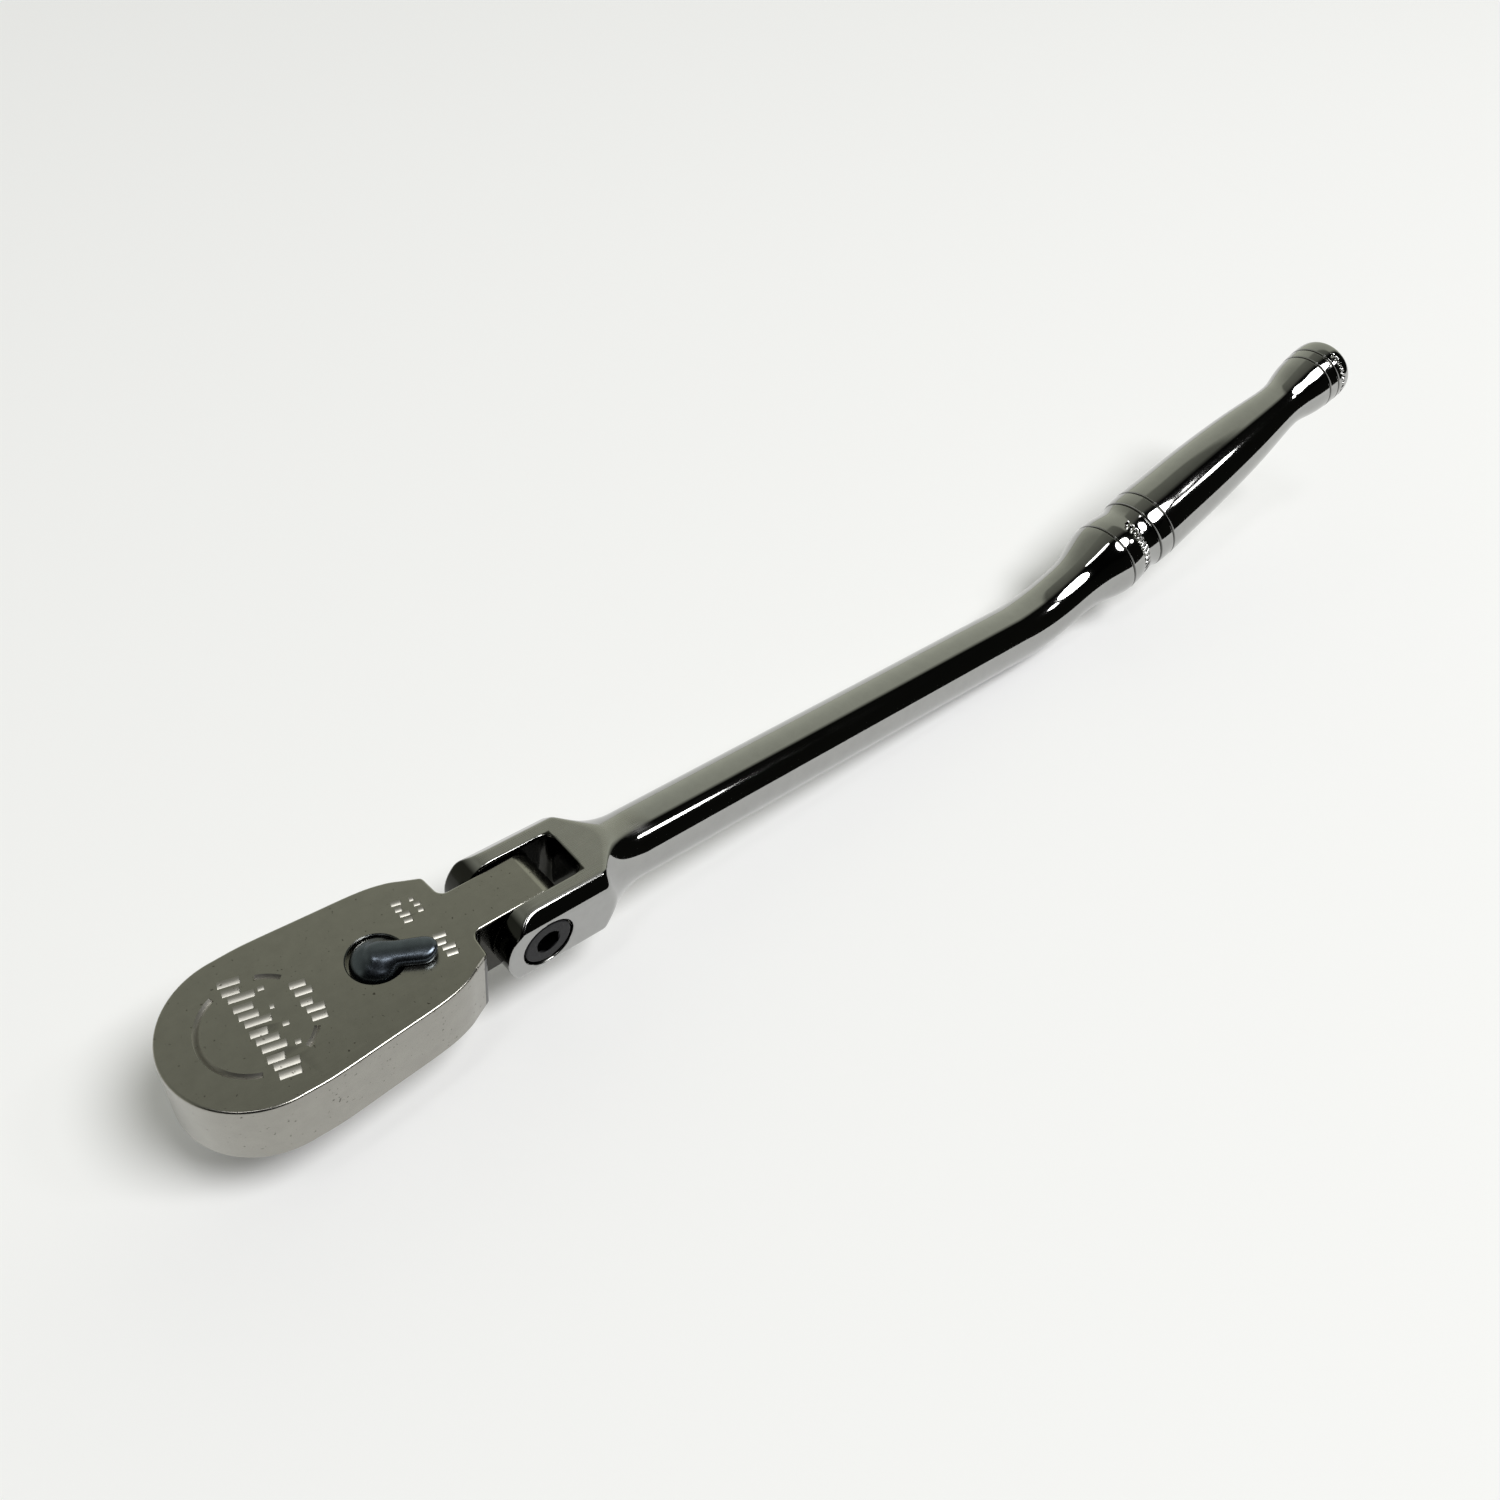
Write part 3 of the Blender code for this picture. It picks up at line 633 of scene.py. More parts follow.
def ring_stamp() -> Growth:
    """A tree that sets blocks round part of a circle about Z, their X axes outwards before they turn."""
    growth = Growth("ring_stamp")
    count, radius, start, step, deep, wide, tall, twist, turn = growth.inputs(
        Count=12, Radius=8.0, Start=0.0, Step=0.2, Deep=0.5, Wide=0.5, Tall=2.0, Twist=0.0, Turn=0.0
    )
    spots = growth.node("MeshLine", Count=count, Offset=growth.vector())
    index = growth.node("InputIndex").outputs[0]
    angle = growth.reckon("ADD", growth.times(index, step), start)
    east = growth.times(growth.reckon("COSINE", angle), radius)
    north = growth.times(growth.reckon("SINE", angle), radius)
    around = growth.node("SetPosition", Geometry=spots.outputs[0], Position=growth.vector(east, north))
    blocks = growth.node(
        "InstanceOnPoints",
        Points=around.outputs[0],
        Instance=growth.node("MeshCube", Size=growth.vector(deep, wide, tall)).outputs[0],
        Rotation=growth.vector(twist, 0.0, growth.reckon("ADD", angle, turn)),
    )
    return growth.end(blocks.outputs[0])


class Stamps:
    """The growth trees of this tool, each built once."""

    makers = {Stamp.ARC: arc_stamp, Stamp.ROW: row_stamp, Stamp.RING: ring_stamp}

    def __init__(self) -> None:
        """Build every tree."""
        self.trees = {stamp: make() for stamp, make in self.makers.items()}

    def cut(self, stamp: Stamp, name: str, **values: object) -> Mesh:
        """Grow one stamp, with its inputs named with underscores for spaces."""
        return self.trees[stamp].grow(name, {key.replace("_", " "): value for key, value in values.items()})


# Finishes


class Grain(Enum):
    """The way that polishing marks run, as a stretch of the pattern along each axis."""

    LENGTHWISE = (0.02, 1.0, 1.0)
    CROSSWISE = (1.0, 0.02, 1.0)
    EVEN = (1.0, 1.0, 1.0)
    TURNED = (1.0, 1.0, 0.05)


STAMPED_ROUGHNESS = 0.40
# Painted shade: the tint that darkens the colour where a mesh's shade attribute is set, and the low roughness
# used there
PAINTED_SHADE_ROUGHNESS = 0.14
PAINTED_SHADE_TINT = (0.09, 0.09, 0.083)
NICK_TINT = (0.35, 0.33, 0.31)


@dataclass(frozen=True)
class MetalFinish:
    """A metal surface with polishing marks, haze, faint stains and small nicks, and painted shade where the
    mesh's shade attribute is set.
    """

    name: str
    light: Colour
    dark: Colour
    roughness: tuple[float, float]
    grain: Grain = Grain.EVEN
    grain_scale: float = 6000.0
    grain_depth: float = 0.000002
    ripple_depth: float = 0.0
    ripple_scale: float = 220.0
    nick_share: float = 0.0
    nick_depth: float = 0.00003
    metallic: float = 1.0
    specular: float = 0.5
    brushed: tuple[float, float] | None = None
    brushed_tint: Colour = (1.0, 1.0, 1.0)

    def make(self) -> Material:
        """Build the material's nodes."""
        paint = Paint(self.name)
        shader = paint.shader
        shader.inputs["Metallic"].default_value = self.metallic
        shader.inputs["Specular IOR Level"].default_value = self.specular
        streaks = paint.noise(self.grain_scale, 4.0, 0.6, stretch=self.grain.value)
        haze = paint.noise(70.0, 4.0, 0.55)
        stain = paint.noise(420.0, 6.0, 0.65)
        tint = paint.blend(paint.span(stain, 0.35, 0.7, 0.0, 1.0), self.light, self.dark)
        worn = paint.span(streaks, 0.3, 0.75, 0.0, 1.0)
        both = paint.reckon("ADD", paint.times(worn, 0.5), paint.times(haze, 0.5))
        gloss = paint.span(both, 0.25, 0.75, *self.roughness)
        if self.brushed:
            share = paint.attribute("brushed")
            coarse = paint.span(worn, 0.0, 1.0, *self.brushed)
            gloss = paint.mix(share, gloss, coarse)
            tint = paint.blend_by(share, tint, paint.tinted(tint, self.brushed_tint))
        gloss = paint.mix(paint.attribute("stamped"), gloss, STAMPED_ROUGHNESS)
        # The shade attribute paints shade: it darkens the colour and lowers the roughness
        shade = paint.attribute("shade")
        gloss = paint.mix(shade, gloss, PAINTED_SHADE_ROUGHNESS)
        tint = paint.blend_by(shade, tint, paint.tinted(tint, PAINTED_SHADE_TINT))
        if self.nick_share:
            specks = paint.noise(1500.0, 2.0, 0.5)
            nick = paint.span(specks, 0.70 - self.nick_share, 0.74 - self.nick_share, 0.0, 1.0)
            tint = paint.blend_by(nick, tint, paint.tinted(tint, NICK_TINT))
            paint.dent(paint.times(nick, -1.0), self.nick_depth)
        paint.tree.links.new(tint, shader.inputs["Base Color"])
        paint.tree.links.new(gloss, shader.inputs["Roughness"])
        paint.dent(streaks, self.grain_depth)
        if self.ripple_depth:
            paint.dent(paint.noise(self.ripple_scale, 1.5, 0.4), self.ripple_depth)
        return paint.done()


class Paint(Bench):
    """A material's node tree."""

    def __init__(self, name: str) -> None:
        """Start from a bare Principled shader."""
        self.material = bpy.data.materials.new(name)
        self.material.use_nodes = True
        super().__init__(self.material.node_tree)
        self.shader = self.tree.nodes["Principled BSDF"]
        self.place = self.tree.nodes.new("ShaderNodeTexCoord").outputs["Object"]
        self.normal: Socket | None = None

    def noise(
        self, scale: float, detail: float, roughness: float, stretch: Sequence[float] = (1.0, 1.0, 1.0)
    ) -> Socket:
        """A noise pattern on object coordinates, stretched along an axis."""
        mapping = self.tree.nodes.new("ShaderNodeMapping")
        mapping.inputs["Scale"].default_value = stretch
        self.tree.links.new(self.place, mapping.inputs["Vector"])
        pattern = self.tree.nodes.new("ShaderNodeTexNoise")
        self.tree.links.new(mapping.outputs[0], pattern.inputs["Vector"])
        for key, value in (("Scale", scale), ("Detail", detail), ("Roughness", roughness)):
            pattern.inputs[key].default_value = value
        return pattern.outputs["Fac"]

    def blend_by(self, share: object, a: object, b: object, kind: str = "MIX") -> Socket:
        """A colour between two others."""
        node = self.tree.nodes.new("ShaderNodeMix")
        node.data_type = "RGBA"
        node.blend_type = kind
        for index, given in ((0, share), (6, a), (7, b)):
            self.put(node.inputs[index], given)
        return node.outputs[2]

    def blend(self, share: object, a: Colour, b: Colour) -> Socket:
        """A colour between two plain ones."""
        return self.blend_by(share, (*a, 1.0), (*b, 1.0))

    def tinted(self, colour: Socket, tint: Colour) -> Socket:
        """A colour multiplied by another."""
        return self.blend_by(1.0, colour, (*tint, 1.0), "MULTIPLY")

    def attribute(self, name: str) -> Socket:
        """A number that the mesh holds at each point."""
        node = self.tree.nodes.new("ShaderNodeAttribute")
        node.attribute_name = name
        return node.outputs["Fac"]

    def dent(self, height: Socket, depth: float) -> None:
        """Add relief of a real depth to the shading."""
        node = self.tree.nodes.new("ShaderNodeBump")
        node.inputs["Strength"].default_value = 1.0
        node.inputs["Distance"].default_value = depth
        self.tree.links.new(height, node.inputs["Height"])
        if self.normal:
            self.tree.links.new(self.normal, node.inputs["Normal"])
        self.normal = node.outputs[0]

    def done(self) -> Material:
        """Join the relief to the shader and return the material."""
        if self.normal:
            self.tree.links.new(self.normal, self.shader.inputs["Normal"])
        return self.material


@dataclass(frozen=True)
class RubberFinish:
    """Matt moulded rubber."""

    name: str = "seal_rubber"
    light: Colour = (0.022, 0.022, 0.021)
    dark: Colour = (0.012, 0.012, 0.012)

    def make(self) -> Material:
        """Build the material's nodes."""
        paint = Paint(self.name)
        bloom = paint.noise(900.0, 5.0, 0.6)
        paint.tree.links.new(paint.blend(bloom, self.light, self.dark), paint.shader.inputs["Base Color"])
        paint.tree.links.new(paint.span(bloom, 0.3, 0.7, 0.55, 0.8), paint.shader.inputs["Roughness"])
        paint.dent(paint.noise(5000.0, 3.0, 0.6), 0.00001)
        return paint.done()


@dataclass
class FinishShelf:
    """Every finish of the wrench, made once and taken by its name in the record."""

    made: dict[str, Material] = field(default_factory=dict)

    def stock(self) -> None:
        """Make all finishes."""
        finishes = (
            MetalFinish(
                "polished_chrome", (0.39, 0.39, 0.382), (0.365, 0.365, 0.357), (0.035, 0.075),
                Grain.LENGTHWISE, grain_depth=0.0000004, ripple_depth=0.000006, ripple_scale=90.0,
                brushed=(0.20, 0.36), brushed_tint=(0.97, 0.96, 0.93),
            ),
            MetalFinish(
                "satin_chrome", (0.355, 0.346, 0.312), (0.325, 0.316, 0.285), (0.20, 0.26), Grain.LENGTHWISE,
                grain_scale=2600.0, grain_depth=0.0000022, nick_share=0.012, nick_depth=0.000008,
            ),
            MetalFinish(
                "black_oxide", (0.014, 0.014, 0.016), (0.009, 0.009, 0.010), (0.25, 0.45), Grain.EVEN,
                grain_depth=0.000004,
            ),
            MetalFinish(
                "dark_lever", (0.115, 0.135, 0.16), (0.085, 0.10, 0.12), (0.23, 0.32), Grain.EVEN,
                grain_scale=3500.0, grain_depth=0.0000012,
            ),
            MetalFinish(
                "ground_steel", (0.52, 0.51, 0.49), (0.42, 0.41, 0.39), (0.22, 0.38), Grain.TURNED,
                grain_scale=5000.0, grain_depth=0.000003,
            ),
            MetalFinish(
                "spring_steel", (0.34, 0.33, 0.32), (0.24, 0.23, 0.22), (0.28, 0.42), Grain.TURNED,
                grain_scale=5000.0, grain_depth=0.000003,
            ),
            RubberFinish(),
        )
        for finish in finishes:
            self.made[finish.name] = finish.make()

    def dress(self, item: Object, name: str) -> Object:
        """Give an object its finish."""
        item.data.materials.clear()
        item.data.materials.append(self.made[name])
        return item

    def dress_nodes(self, finish: str, *names: str) -> None:
        """Give frame pieces that stay in view a finish, through their material slots."""
        for name in names:
            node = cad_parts[name]
            if not node.material_slots:
                node.data.materials.append(self.made[finish])
            for holder in node.material_slots:
                holder.material = self.made[finish]


# The tool's places


HEAD_MID = 17.75
PIVOT = Vector((42.8, 0.0, HEAD_MID))
DROOP = math.radians(1.9)
PAWL_PLACE = Vector((12.2, 0.0, 0.0))
LEVER_PLACE = Vector((18.4, 0.0, 0.0))
LEVER_TURN = math.radians(-28.6)
HANDLE_PLACE = Matrix.Translation(PIVOT) @ Matrix.Rotation(DROOP, 4, "Y")
SIDE_ON = Matrix.Rotation(math.radians(90), 4, "X")


@dataclass
class Maker:
    """What every sub-assembly shares: the finishes and the growth trees."""

    shelf: FinishShelf
    stamps: Stamps

    def set_out(
        self, mesh: Mesh, name: str, body: str, finish: str, node: str, normals: np.ndarray | None = None
    ) -> Object:
        """Turn a finished mesh into a piece that rides on its body.

        Args:
            mesh: The mesh, in millimetres and in the wrench's frame.
            name: The piece's name.
            body: The body that it rides on.
            finish: The finish it takes.
            node: The frame piece that it stands for.
            normals: Shading normals in the wrench's frame, where the faces' own aren't used.

        Returns:
            The piece.
        """
        mesh.name = name
        mesh.transform(Matrix.Scale(MM, 4))
        if normals is not None:
            mesh.normals_split_custom_set_from_vertices(normals.tolist())
        item = self.shelf.dress(linked(name, mesh), finish)
        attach(item, body)
        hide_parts(node)
        log.info("%s: %d faces", name, len(mesh.polygons))
        return item


@dataclass
class Handle(Maker):
    """The one-piece handle: yoke, neck, shaft, bend and grip, with its pivot screw."""

    half_width: float = 9.18
    half_height: float = 7.19
    chamfer: float = 2.03
    tip: float = 7.5
    edge: float = 0.42
    slot_half: float = 4.74
    slot_end: float = 9.6
    slot_corner: float = 2.0
    hole: float = 3.05
    counterbore: float = 4.7
    counterbore_floor: float = 6.88
    neck_end: float = 22.5
    neck_fillet: float = 15.4
    shaft: float = 6.05
    bend_at: float = 135.6
    bend_angle: float = math.radians(21.3)
    bend_radius: float = 50.0
    net: float = 0.25
    sides: int = 96
    end_crown: float = 0.30
    # How far the yoke's field holds past the neck, and the gap that is stitched to the bar
    yoke_end: float = 0.6
    bar_start: float = 0.7
    # The painted shade round each ear's tip starts this far before the pivot
    tip_shade: float = 3.4
    # The grip's radius at distances from the bend's corner
    grip: tuple[Point2, ...] = (
        (9.4, 6.20), (11.0, 6.20), (13.0, 6.26), (15.5, 6.58), (17.5, 7.08), (20.0, 7.86), (22.0, 8.40),
        (23.8, 8.70), (26.2, 8.68), (29.0, 8.32), (31.2, 8.04), (32.5, 8.22), (33.7, 8.55), (35.4, 8.72),
        (37.4, 8.75), (45.0, 8.54), (53.0, 8.32), (60.0, 8.01), (67.0, 7.57), (73.0, 7.08), (78.0, 6.55),
        (82.0, 6.08), (85.0, 5.78), (87.2, 5.68), (89.0, 5.82), (91.5, 6.34), (94.0, 6.86), (96.7, 7.17),
        (99.6, 7.34), (101.4, 7.38), (102.8, 7.30), (103.6, 7.08), (104.1, 6.72), (104.32, 6.3),
    )
    grooves: tuple[Point2, ...] = ((24.2, 0.30), (33.4, 0.28), (37.4, 0.27), (96.7, 0.27), (99.6, 0.27))
    groove_half: float = 0.34

    def yoke(self, points: np.ndarray) -> np.ndarray:
        """The field of the yoke and neck in the handle's frame.

        Each soft_max ends with the width that its edge is rounded over.

        Args:
            points: Where the field is wanted.

        Returns:
            Its values, negative inside the steel.
        """
        x, y, z = points[..., 0], points[..., 1], points[..., 2]
        out = np.hypot(y, z)
        fillet_height = self.shaft + self.neck_fillet
        neck = self.neck_fillet - np.hypot(x - self.neck_end, out - fillet_height)
        neck = np.where(x > self.neck_end, out - self.shaft, neck)
        across, up = np.abs(y), np.abs(z)
        corner = (across + up - (self.half_width + self.half_height - self.chamfer)) / math.sqrt(2)
        solid = soft_max(soft_max(across - self.half_width, up - self.half_height, 0.2), corner, self.edge)
        solid = soft_max(solid, np.hypot(np.minimum(x, 0.0), z) - self.tip, self.edge)
        solid = soft_max(solid, neck, 0.5)
        inner = self.slot_half - self.slot_corner
        back = self.slot_end - self.slot_corner
        over_x, over_y = x - back, across - inner
        slot = np.hypot(np.maximum(over_x, 0.0), np.maximum(over_y, 0.0))
        slot = slot + np.minimum(np.maximum(over_x, over_y), 0.0) - self.slot_corner
        solid = soft_max(solid, -slot, 0.36)
        from_pivot = np.hypot(x, z)
        solid = soft_max(solid, self.hole - from_pivot, 0.3)
        pocket = np.maximum(from_pivot - self.counterbore, y + self.counterbore_floor)
        return soft_max(solid, -pocket, 0.3)

    def radii(self, at: np.ndarray) -> np.ndarray:
        """The bar's radius at distances along it, measured from the bend's corner on the grip."""
        knots = np.array([(-self.bend_at + self.neck_end, self.shaft), (-54.0, 6.1), (-9.4, 6.2), *self.grip])
        fine = np.arange(knots[0, 0], knots[-1, 0], 0.1)
        smooth = monotone(knots[:, 0], knots[:, 1], fine)
        width = 5
        weights = np.exp(-0.5 * (np.arange(-3 * width, 3 * width + 1) / width) ** 2)
        padded = np.pad(smooth, 3 * width, mode="edge")
        blurred = np.convolve(padded, weights / weights.sum(), mode="valid")
        near_end = np.clip((knots[-1, 0] - fine) / 2.0, 0.0, 1.0)
        smooth = blurred * near_end + smooth * (1 - near_end)
        radius = np.interp(at, fine, smooth)
        for centre, depth in self.grooves:
            off = np.abs(at - centre) / self.groove_half
            radius = radius - depth * np.clip(1 - off**2, 0.0, 1.0) ** 0.5 * (off < 1)
        return radius

    def stations(self) -> np.ndarray:
        """Distances from the bend's corner where the bar has a ring of points."""
        tangent = self.bend_radius * math.tan(self.bend_angle / 2)
        along = [*np.linspace(self.neck_end + self.bar_start - self.bend_at, -tangent - 3.0, 34)]
        along += [*np.linspace(-tangent, tangent, 26)]
        end = self.grip[-1][0]
        along += [*np.arange(tangent + 0.8, 103.2, 0.8), *np.arange(103.3, end, 0.12), end]
        spots = np.array(along)
        for centre, _ in self.grooves:
            spots = spots[np.abs(spots - centre) > self.groove_half + 0.1]
            half = self.groove_half
            shares = np.array((0.0, 0.45, 0.75, 0.93, 1.0, 1.18))
            spots = np.concatenate([spots, centre + shares * half, centre - shares[1:] * half])
        return np.unique(np.round(spots, 5))

    def spot(self, distance: float) -> tuple[Vector, Vector]:
        """The bar's centre line and its direction at a distance from the bend's corner."""
        tangent = self.bend_radius * math.tan(self.bend_angle / 2)
        if distance <= -tangent:
            return Vector((self.bend_at + distance, 0, 0)), Vector((1, 0, 0))
        direction = Vector((math.cos(self.bend_angle), 0, math.sin(self.bend_angle)))
        if distance >= tangent:
            return Vector((self.bend_at, 0, 0)) + direction * distance, direction
        angle = self.bend_angle * (distance + tangent) / (2 * tangent)
        along = self.bend_at - tangent + self.bend_radius * math.sin(angle)
        height = self.bend_radius * (1 - math.cos(angle))
        return Vector((along, 0, height)), Vector((math.cos(angle), 0, math.sin(angle)))

    def bar(self) -> Mesh:
        """The shaft, bend and grip, closed at both ends."""
        points: list[Vector] = []
        spots = self.stations()
        rings = list(zip(spots, self.radii(spots)))
        end, end_radius = rings[-1]
        for share in (0.97, 0.9, 0.75, 0.5, 0.25):
            rings.append((end + self.end_crown * (1 - share**2) ** 0.8, end_radius * share))
        for distance, radius in rings:
            centre, along = self.spot(float(distance))
            up = Vector((-along.z, 0, along.x))
            for side in range(self.sides):
                angle = math.tau * side / self.sides
                across = Vector((0, radius * math.cos(angle), 0))
                points.append(centre + across + up * radius * math.sin(angle))
        faces = [list(range(self.sides)), *tube_faces(len(rings), self.sides)]
        points.append(self.spot(end + self.end_crown)[0])
        last = (len(rings) - 1) * self.sides
        tip = len(points) - 1
        faces += [[last + side, last + (side + 1) % self.sides, tip] for side in range(self.sides)]
        return mesh_of("bar", points, faces)

    def grip_marks(self) -> list[Mesh]:
        """Rows of short dashes that are stamped into the grip's two bands."""
        marks = []
        # Name, distance along the grip, count, first angle and step in degrees, and length of a dash
        for name, distance, count, start, step, tall in (
            ("front_dashes", 28.9, 16, -170.0, 8.4, 2.1),
            ("end_dashes", 101.3, 13, -160.0, 9.4, 0.9),
        ):
            radius = float(self.radii(np.array([distance]))[0])
            ring = self.stamps.cut(
                Stamp.RING, name, Count=count, Radius=radius, Start=math.radians(start),
                Step=math.radians(step), Deep=0.40, Wide=0.62, Tall=tall, Twist=0.35,
            )
            centre, along = self.spot(distance)
            turn = Vector((0, 0, 1)).rotation_difference(along).to_matrix().to_4x4()
            marks.append(placed(ring, turn, Matrix.Translation(centre)))
        return marks

    def build(self) -> None:
        """Make the handle and the pivot screw."""
        bar = machined(self.bar(), self.grip_marks())
        low, high = (-8.6, -9.8, -7.9), (self.neck_end + self.yoke_end, 9.8, 7.9)
        points, faces = skin(self.yoke, low, high, self.net)
        work = bmesh.new()
        work.from_mesh(bar)
        front = self.neck_end + self.bar_start
        caps = [face for face in work.faces if all(abs(v.co.x - front) < 1e-3 for v in face.verts)]
        bmesh.ops.delete(work, geom=caps, context="FACES_ONLY")
        yoke = bpy.data.meshes.new("yoke")
        yoke.from_pydata(points.tolist(), [], faces)
        work.from_mesh(yoke)
        stitch(work)
        mesh = bpy.data.meshes.new("handle")
        work.to_mesh(mesh)
        work.free()
        normals = field_shaded(mesh, self.yoke, lambda spots: spots[:, 0] < front + 0.01)
        mesh.set_sharp_from_angle(angle=math.radians(40))
        flat = np.clip((np.abs(normals[:, 2]) - 0.88) / 0.1, 0.0, 1.0)
        noted(mesh, "brushed", "POINT", flat)
        # Painted shade: the slot, the ears' tips and the grip's grooves are darkened in colour
        noted(mesh, "shade", "POINT", self.painted_shade_share(mesh, flat))
        turn = np.array(HANDLE_PLACE.to_3x3())
        placed(mesh, HANDLE_PLACE)
        self.set_out(mesh, "handle", "handle", "polished_chrome", "handle_bar", normals @ turn.T)
        self.build_screw()
        self.shelf.dress_nodes("spring_steel", "friction_washer_near", "friction_washer_far")

    def painted_shade_share(self, mesh: Mesh, flat: np.ndarray) -> np.ndarray:
        """How much painted shade each point of the handle takes: the slot, the ears' tips and the grip's
        grooves are darkened in colour.

        Args:
            mesh: The handle, in its own frame.
            flat: How much each point's surface faces straight up or down, from 0 to 1.

        Returns:
            A share for each point, with 1 for the darkest painted shade.
        """
        x, y, z = coordinates(mesh).T
        in_slot = (np.abs(y) < self.slot_half + 0.12) & (x < self.slot_end + 0.12)
        tip = np.clip((-x - self.tip_shade) / 1.2, 0.0, 1.0) * (np.abs(y) < self.half_width - 0.30)
        share = np.where(in_slot, 1.0, tip * np.clip(2.0 * (1.0 - flat), 0.0, 1.0))
        along = (x - self.bend_at) * math.cos(self.bend_angle) + z * math.sin(self.bend_angle)
        for centre, _ in self.grooves:
            off = np.abs(along - centre) / self.groove_half
            share = np.maximum(share, np.where(off < 1, np.clip(1 - off**2, 0.0, 1.0) ** 0.5, 0.0))
        return share

    def build_screw(self) -> None:
        """The black socket screw that the head turns on."""
        top, head, shank, low = 8.95, 4.35, 2.75, -8.7
        rim = arc((head - 0.35, top - 0.35), 0.35, 90, 0, 6)
        seat, tip = 7.18, 0.5
        body = [(head, seat), (shank, seat), (shank, low + tip), (shank - tip, low), (0, low)]
        profile = [(0, top), (2.2, top), *rim, *body]
        blank = lathe("pivot_screw", profile, 72)
        hexagon = prism("hexagon", regular(6, 4.0 / math.sqrt(3), 30), 7.3, 10.0)
        flare = lathe("flare", [(0, 8.7), (1.9, 8.7), (2.6, 9.2), (0, 9.2)], 48)
        point = lathe("drill_point", [(0, 7.0), (1.8, 7.45), (0, 7.5)], 48)
        mesh = shaded(machined(blank, [hexagon, flare, point]))
        self.set_out(placed(mesh, SIDE_ON, HANDLE_PLACE), "screw", "handle", "black_oxide", "pivot_screw")


def monotone(x: np.ndarray, y: np.ndarray, at: np.ndarray) -> np.ndarray:
    """A curve through points that never overshoots them.

    Args:
        x: Where the points are, in rising order.
        y: Their values.
        at: Where the curve is wanted.

    Returns:
        The curve's values.
    """
    step = np.diff(x)
    slope = np.diff(y) / step
    tangent = np.zeros_like(y)
    turning = slope[:-1] * slope[1:] > 0
    w1 = 2 * step[1:] + step[:-1]
    w2 = step[1:] + 2 * step[:-1]
    safe = np.where(turning, slope[:-1] * slope[1:], 1.0)
    middle = (w1 + w2) * safe / (w1 * slope[1:] + w2 * slope[:-1] + np.where(turning, 0.0, 1e9))
    tangent[1:-1] = np.where(turning, middle, 0.0)
    tangent[0], tangent[-1] = slope[0], slope[-1]
    index = np.clip(np.searchsorted(x, at) - 1, 0, len(step) - 1)
    t = (at - x[index]) / step[index]
    rise = step[index]
    return (
        y[index] * (1 + 2 * t) * (1 - t) ** 2
        + rise * tangent[index] * t * (1 - t) ** 2
        + y[index + 1] * t**2 * (3 - 2 * t)
        + rise * tangent[index + 1] * t**2 * (t - 1)
    )


def stitch(work: bmesh.types.BMesh) -> None:
    """Join the yoke's open end to the bar's with a strip of triangles round the X axis."""
    rims: dict[bool, list] = {True: [], False: []}
    edge_points = {point for edge in work.edges if edge.is_boundary for point in edge.verts}
    line = sum(point.co.x for point in edge_points) / len(edge_points)
    for point in edge_points:
        rims[point.co.x < line].append(point)

    def angle(point: bmesh.types.BMVert) -> float:
        return math.atan2(point.co.z, point.co.y)

    near = sorted(rims[True], key=angle)
    far = sorted(rims[False], key=angle)
    a = b = 0
    while a < len(near) or b < len(far):
        here, there = near[a % len(near)], far[b % len(far)]
        next_a = angle(near[(a + 1) % len(near)]) + (math.tau if a + 1 >= len(near) else 0.0)
        next_b = angle(far[(b + 1) % len(far)]) + (math.tau if b + 1 >= len(far) else 0.0)
        if b >= len(far) or (a < len(near) and next_a < next_b):
            work.faces.new((here, there, near[(a + 1) % len(near)]))
            a += 1
        else:
            work.faces.new((here, there, far[(b + 1) % len(far)]))
            b += 1
    bmesh.ops.recalc_face_normals(work, faces=work.faces)


